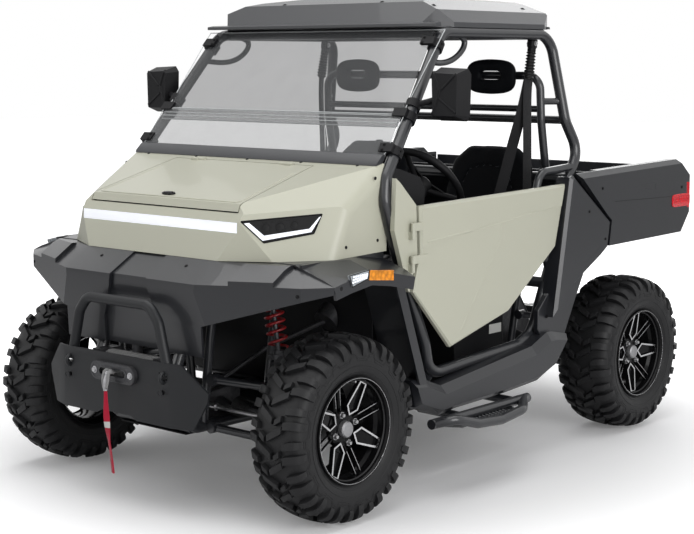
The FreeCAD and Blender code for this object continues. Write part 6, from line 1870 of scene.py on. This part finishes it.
def makeDriveTrim(d=drive):
    give = paintParts("power_units", ("matBlack", "darkSteel"))
    give(1, lambda p: abs(p.y) > d["steelBeyond"])
    tree = nodeTree("power_units")
    build = Build()
    shares = range(d["steps"] + 1)
    columns, (low, high) = d["rear"]
    for x in columns:
        line = [meet(tree, (x, d["rearFrom"], low + (high - low) * k / d["steps"]), (0, -1, 0))[0] for k in shares]
        line = [place for place in line if place and place.y > d["rearBeyond"]]
        if len(line) > 3:
            build.pipe(line, 0.004, 0, 8, (1, 0, 0))
            for place in (line[0], line[-1]):
                boltAt(build, place, (0, 1, 0), 0.006, 1)
    rows, (start, end) = d["side"]
    for z in rows:
        line = [meet(tree, (d["sideFrom"], start + (end - start) * k / d["steps"], z), (-1, 0, 0))[0] for k in shares]
        line = [place for place in line if place and place.x > d["sideBeyond"]]
        if len(line) > 3:
            build.pipe(line, 0.0035, 0, 8, (0, 0, 1))
    build.mirror()
    y, z, wide, high = d["plate"]
    place = meet(tree, (d["sideFrom"], y, z), (-1, 0, 0))[0]
    if place:
        build.slab([(place.x - 0.0005, y + a, z + b) for a, b in ((-wide, -high), (wide, -high), (wide, high),
                                                                  (-wide, high))], (0.0012, 0, 0), 2)
    build.piece("drive_ribs", ("darkSteel", "zinc", "label"), "chassis", "mechanical", 35)
    boots = Build()
    ends = [v.co for v in nodes["axles"].data.vertices if v.co.x > 0]
    half = d["bootHalf"]
    for front in (True, False):
        shaft = [p for p in ends if (p.y < 0) == front]
        inner = min(shaft, key=lambda p: p.x).x
        outer = max(shaft, key=lambda p: p.x).x
        a, b = middleAt(shaft, inner + 0.01), middleAt(shaft, outer - 0.01)
        axis = (b - a).normalized()
        for x, turned in zip(d["boots"], (1, -1)):
            place = a.lerp(b, (x - a.x) / (b.x - a.x))
            section = [(-half * turned, 0.0)]
            for k in range(d["bootFolds"]):
                radius = d["bootRadius"] - 0.0035 * k
                section += [((-half + 0.012 * k) * turned, radius - 0.006), ((-0.030 + 0.012 * k) * turned, radius)]
            section += [(half * turned, 0.014), (half * turned, 0.0)]
            boots.turned(section, place, axis, (0, 0, 1), 28, 0, False)
    boots.mirror()
    boots.piece("axle_boots", "sealRubber", "chassis", "rubber", 30)


makeDriveTrim()
print("drive units trimmed")


# doors: low creases pressed across the panel and down towards its point
doorCrease = {
    "across": ((-0.500, 0.950), (-0.2425, 0.9693), (-0.0346, 0.9832), (0.1932, 1.009), (0.350, 1.0255)),
    "down": ((-0.0346, 0.9832), (-0.0335, 0.9167), (-0.1847, 0.7298), (-0.3130, 0.563)),
    "radius": 0.0042,
    "sunk": 0.0031,
}


def makeDoorCreases(c=doorCrease):
    for body, side in (("door_left", 1), ("door_right", -1)):
        tree = nodeTree(body)
        build = Build()
        for route in (c["across"], c["down"]):
            line = []
            for p in between(sideways(route, 0), 6):
                place, normal = meet(tree, (side * 0.9, p.y, p.z), (-side, 0, 0))
                if place:
                    line.append(place - normal * c["sunk"] * (1 if normal.x * side > 0 else -1))
            build.pipe(line, c["radius"], 0, 12, (1, 0, 0), 1.6)
        build.piece(body + "_creases", "sagePaint", body, "body_paint", 60)


# quarter foot: the lower end of each side pillar, down to the rocker
quarterFoot = {
    "outline": ((0.262, 0.600), (0.262, 0.520), (0.300, 0.462), (0.448, 0.455), (0.535, 0.612), (0.600, 0.720),
                (0.450, 0.720), (0.330, 0.660)),
    "inner": 0.690,
    "outer": 0.7145,
}


def makeQuarterFoot(q=quarterFoot):
    build = Build()
    build.slab(sideways(q["outline"], q["inner"]), (q["outer"] - q["inner"], 0, 0), 0)
    build.mirror()
    piece = build.piece("quarter_foot", "charcoal", "chassis", "charcoal", 30)
    bevelled(piece, 0.005, 2, 30)


makeDoorCreases()
makeQuarterFoot()
print("doors and pillar feet trimmed")


# studio: white surroundings, a floor that is brighter away from the part, and four area lamps
studio = {
    "worldLight": 0.28,
    "floorColour": (0.88, 0.88, 0.89, 1),
    "floorGlow": (1.0, 2.9, 0.10, 1.0),
    "floorSize": 60.0,
    "lamps": (
        ("overhead", (0.0, -0.6, 5.4), (0, 0, 0.6), 5.5, 175.0),
        ("left", (6.4, -2.2, 2.6), (0, 0, 0.8), 4.0, 230.0),
        ("front", (-2.4, -6.4, 2.8), (0, 0, 0.8), 3.5, 60.0),
        ("behind", (-1.5, 6.0, 3.8), (0, 0.5, 1.0), 4.0, 110.0),
    ),
}


def makeStudio(s=studio):
    world = bpy.data.worlds.new("studio")
    scene.world = world
    world.use_nodes = True
    tree = world.node_tree
    tree.nodes.clear()
    path = tree.nodes.new("ShaderNodeLightPath")
    plain = tree.nodes.new("ShaderNodeBackground")
    plain.inputs["Strength"].default_value = s["worldLight"]
    seen = tree.nodes.new("ShaderNodeBackground")
    blendOne = tree.nodes.new("ShaderNodeMixShader")
    out = tree.nodes.new("ShaderNodeOutputWorld")
    share, shareAll = tree.nodes.new("ShaderNodeMath"), tree.nodes.new("ShaderNodeMath")
    share.operation = shareAll.operation = "MAXIMUM"
    for background in (plain, seen):
        background.inputs["Color"].default_value = (1, 1, 1, 1)
    tree.links.new(path.outputs["Is Camera Ray"], share.inputs[0])
    tree.links.new(path.outputs["Is Transmission Ray"], share.inputs[1])
    tree.links.new(share.outputs[0], shareAll.inputs[0])
    tree.links.new(path.outputs["Is Glossy Ray"], shareAll.inputs[1])
    tree.links.new(shareAll.outputs[0], blendOne.inputs[0])
    tree.links.new(plain.outputs[0], blendOne.inputs[1])
    tree.links.new(seen.outputs[0], blendOne.inputs[2])
    tree.links.new(blendOne.outputs[0], out.inputs[0])
    half = s["floorSize"] / 2
    mesh = bpy.data.meshes.new("floor")
    mesh.from_pydata([(-half, -half, 0), (half, -half, 0), (half, half, 0), (-half, half, 0)], [], [(0, 1, 2, 3)])
    floor = bpy.data.objects.new("floor", mesh)
    scene.collection.objects.link(floor)
    surface = Finish("paperFloor", Roughness=0.9, Specular_IOR_Level=0.1)
    surface.set("Base Color", s["floorColour"])
    seenHere = surface.node("ShaderNodeLightPath", out="Is Camera Ray")
    near, far, low, high = s["floorGlow"]
    away = surface.node("ShaderNodeVectorMath", {"operation": "LENGTH"}, {0: surface.place()}, 1)
    glowing = surface.node("ShaderNodeMapRange", {"interpolation_type": "SMOOTHSTEP"},
                           {"Value": away, "From Min": near, "From Max": far, "To Min": low, "To Max": high})
    surface.set("Emission Color", surface.mix(seenHere * glowing, (0, 0, 0, 1), (1, 1, 1, 1)))
    surface.set("Emission Strength", 1.0)
    mesh.materials.append(surface.material)
    for name, place, aim, size, power in s["lamps"]:
        data = bpy.data.lights.new(name, "AREA")
        data.energy = power
        data.size = size
        lamp = bpy.data.objects.new(name, data)
        scene.collection.objects.link(lamp)
        lamp.location = place
        lamp.rotation_euler = (Vector(aim) - Vector(place)).to_track_quat("-Z", "Y").to_euler()


makeStudio()
print("studio ready")
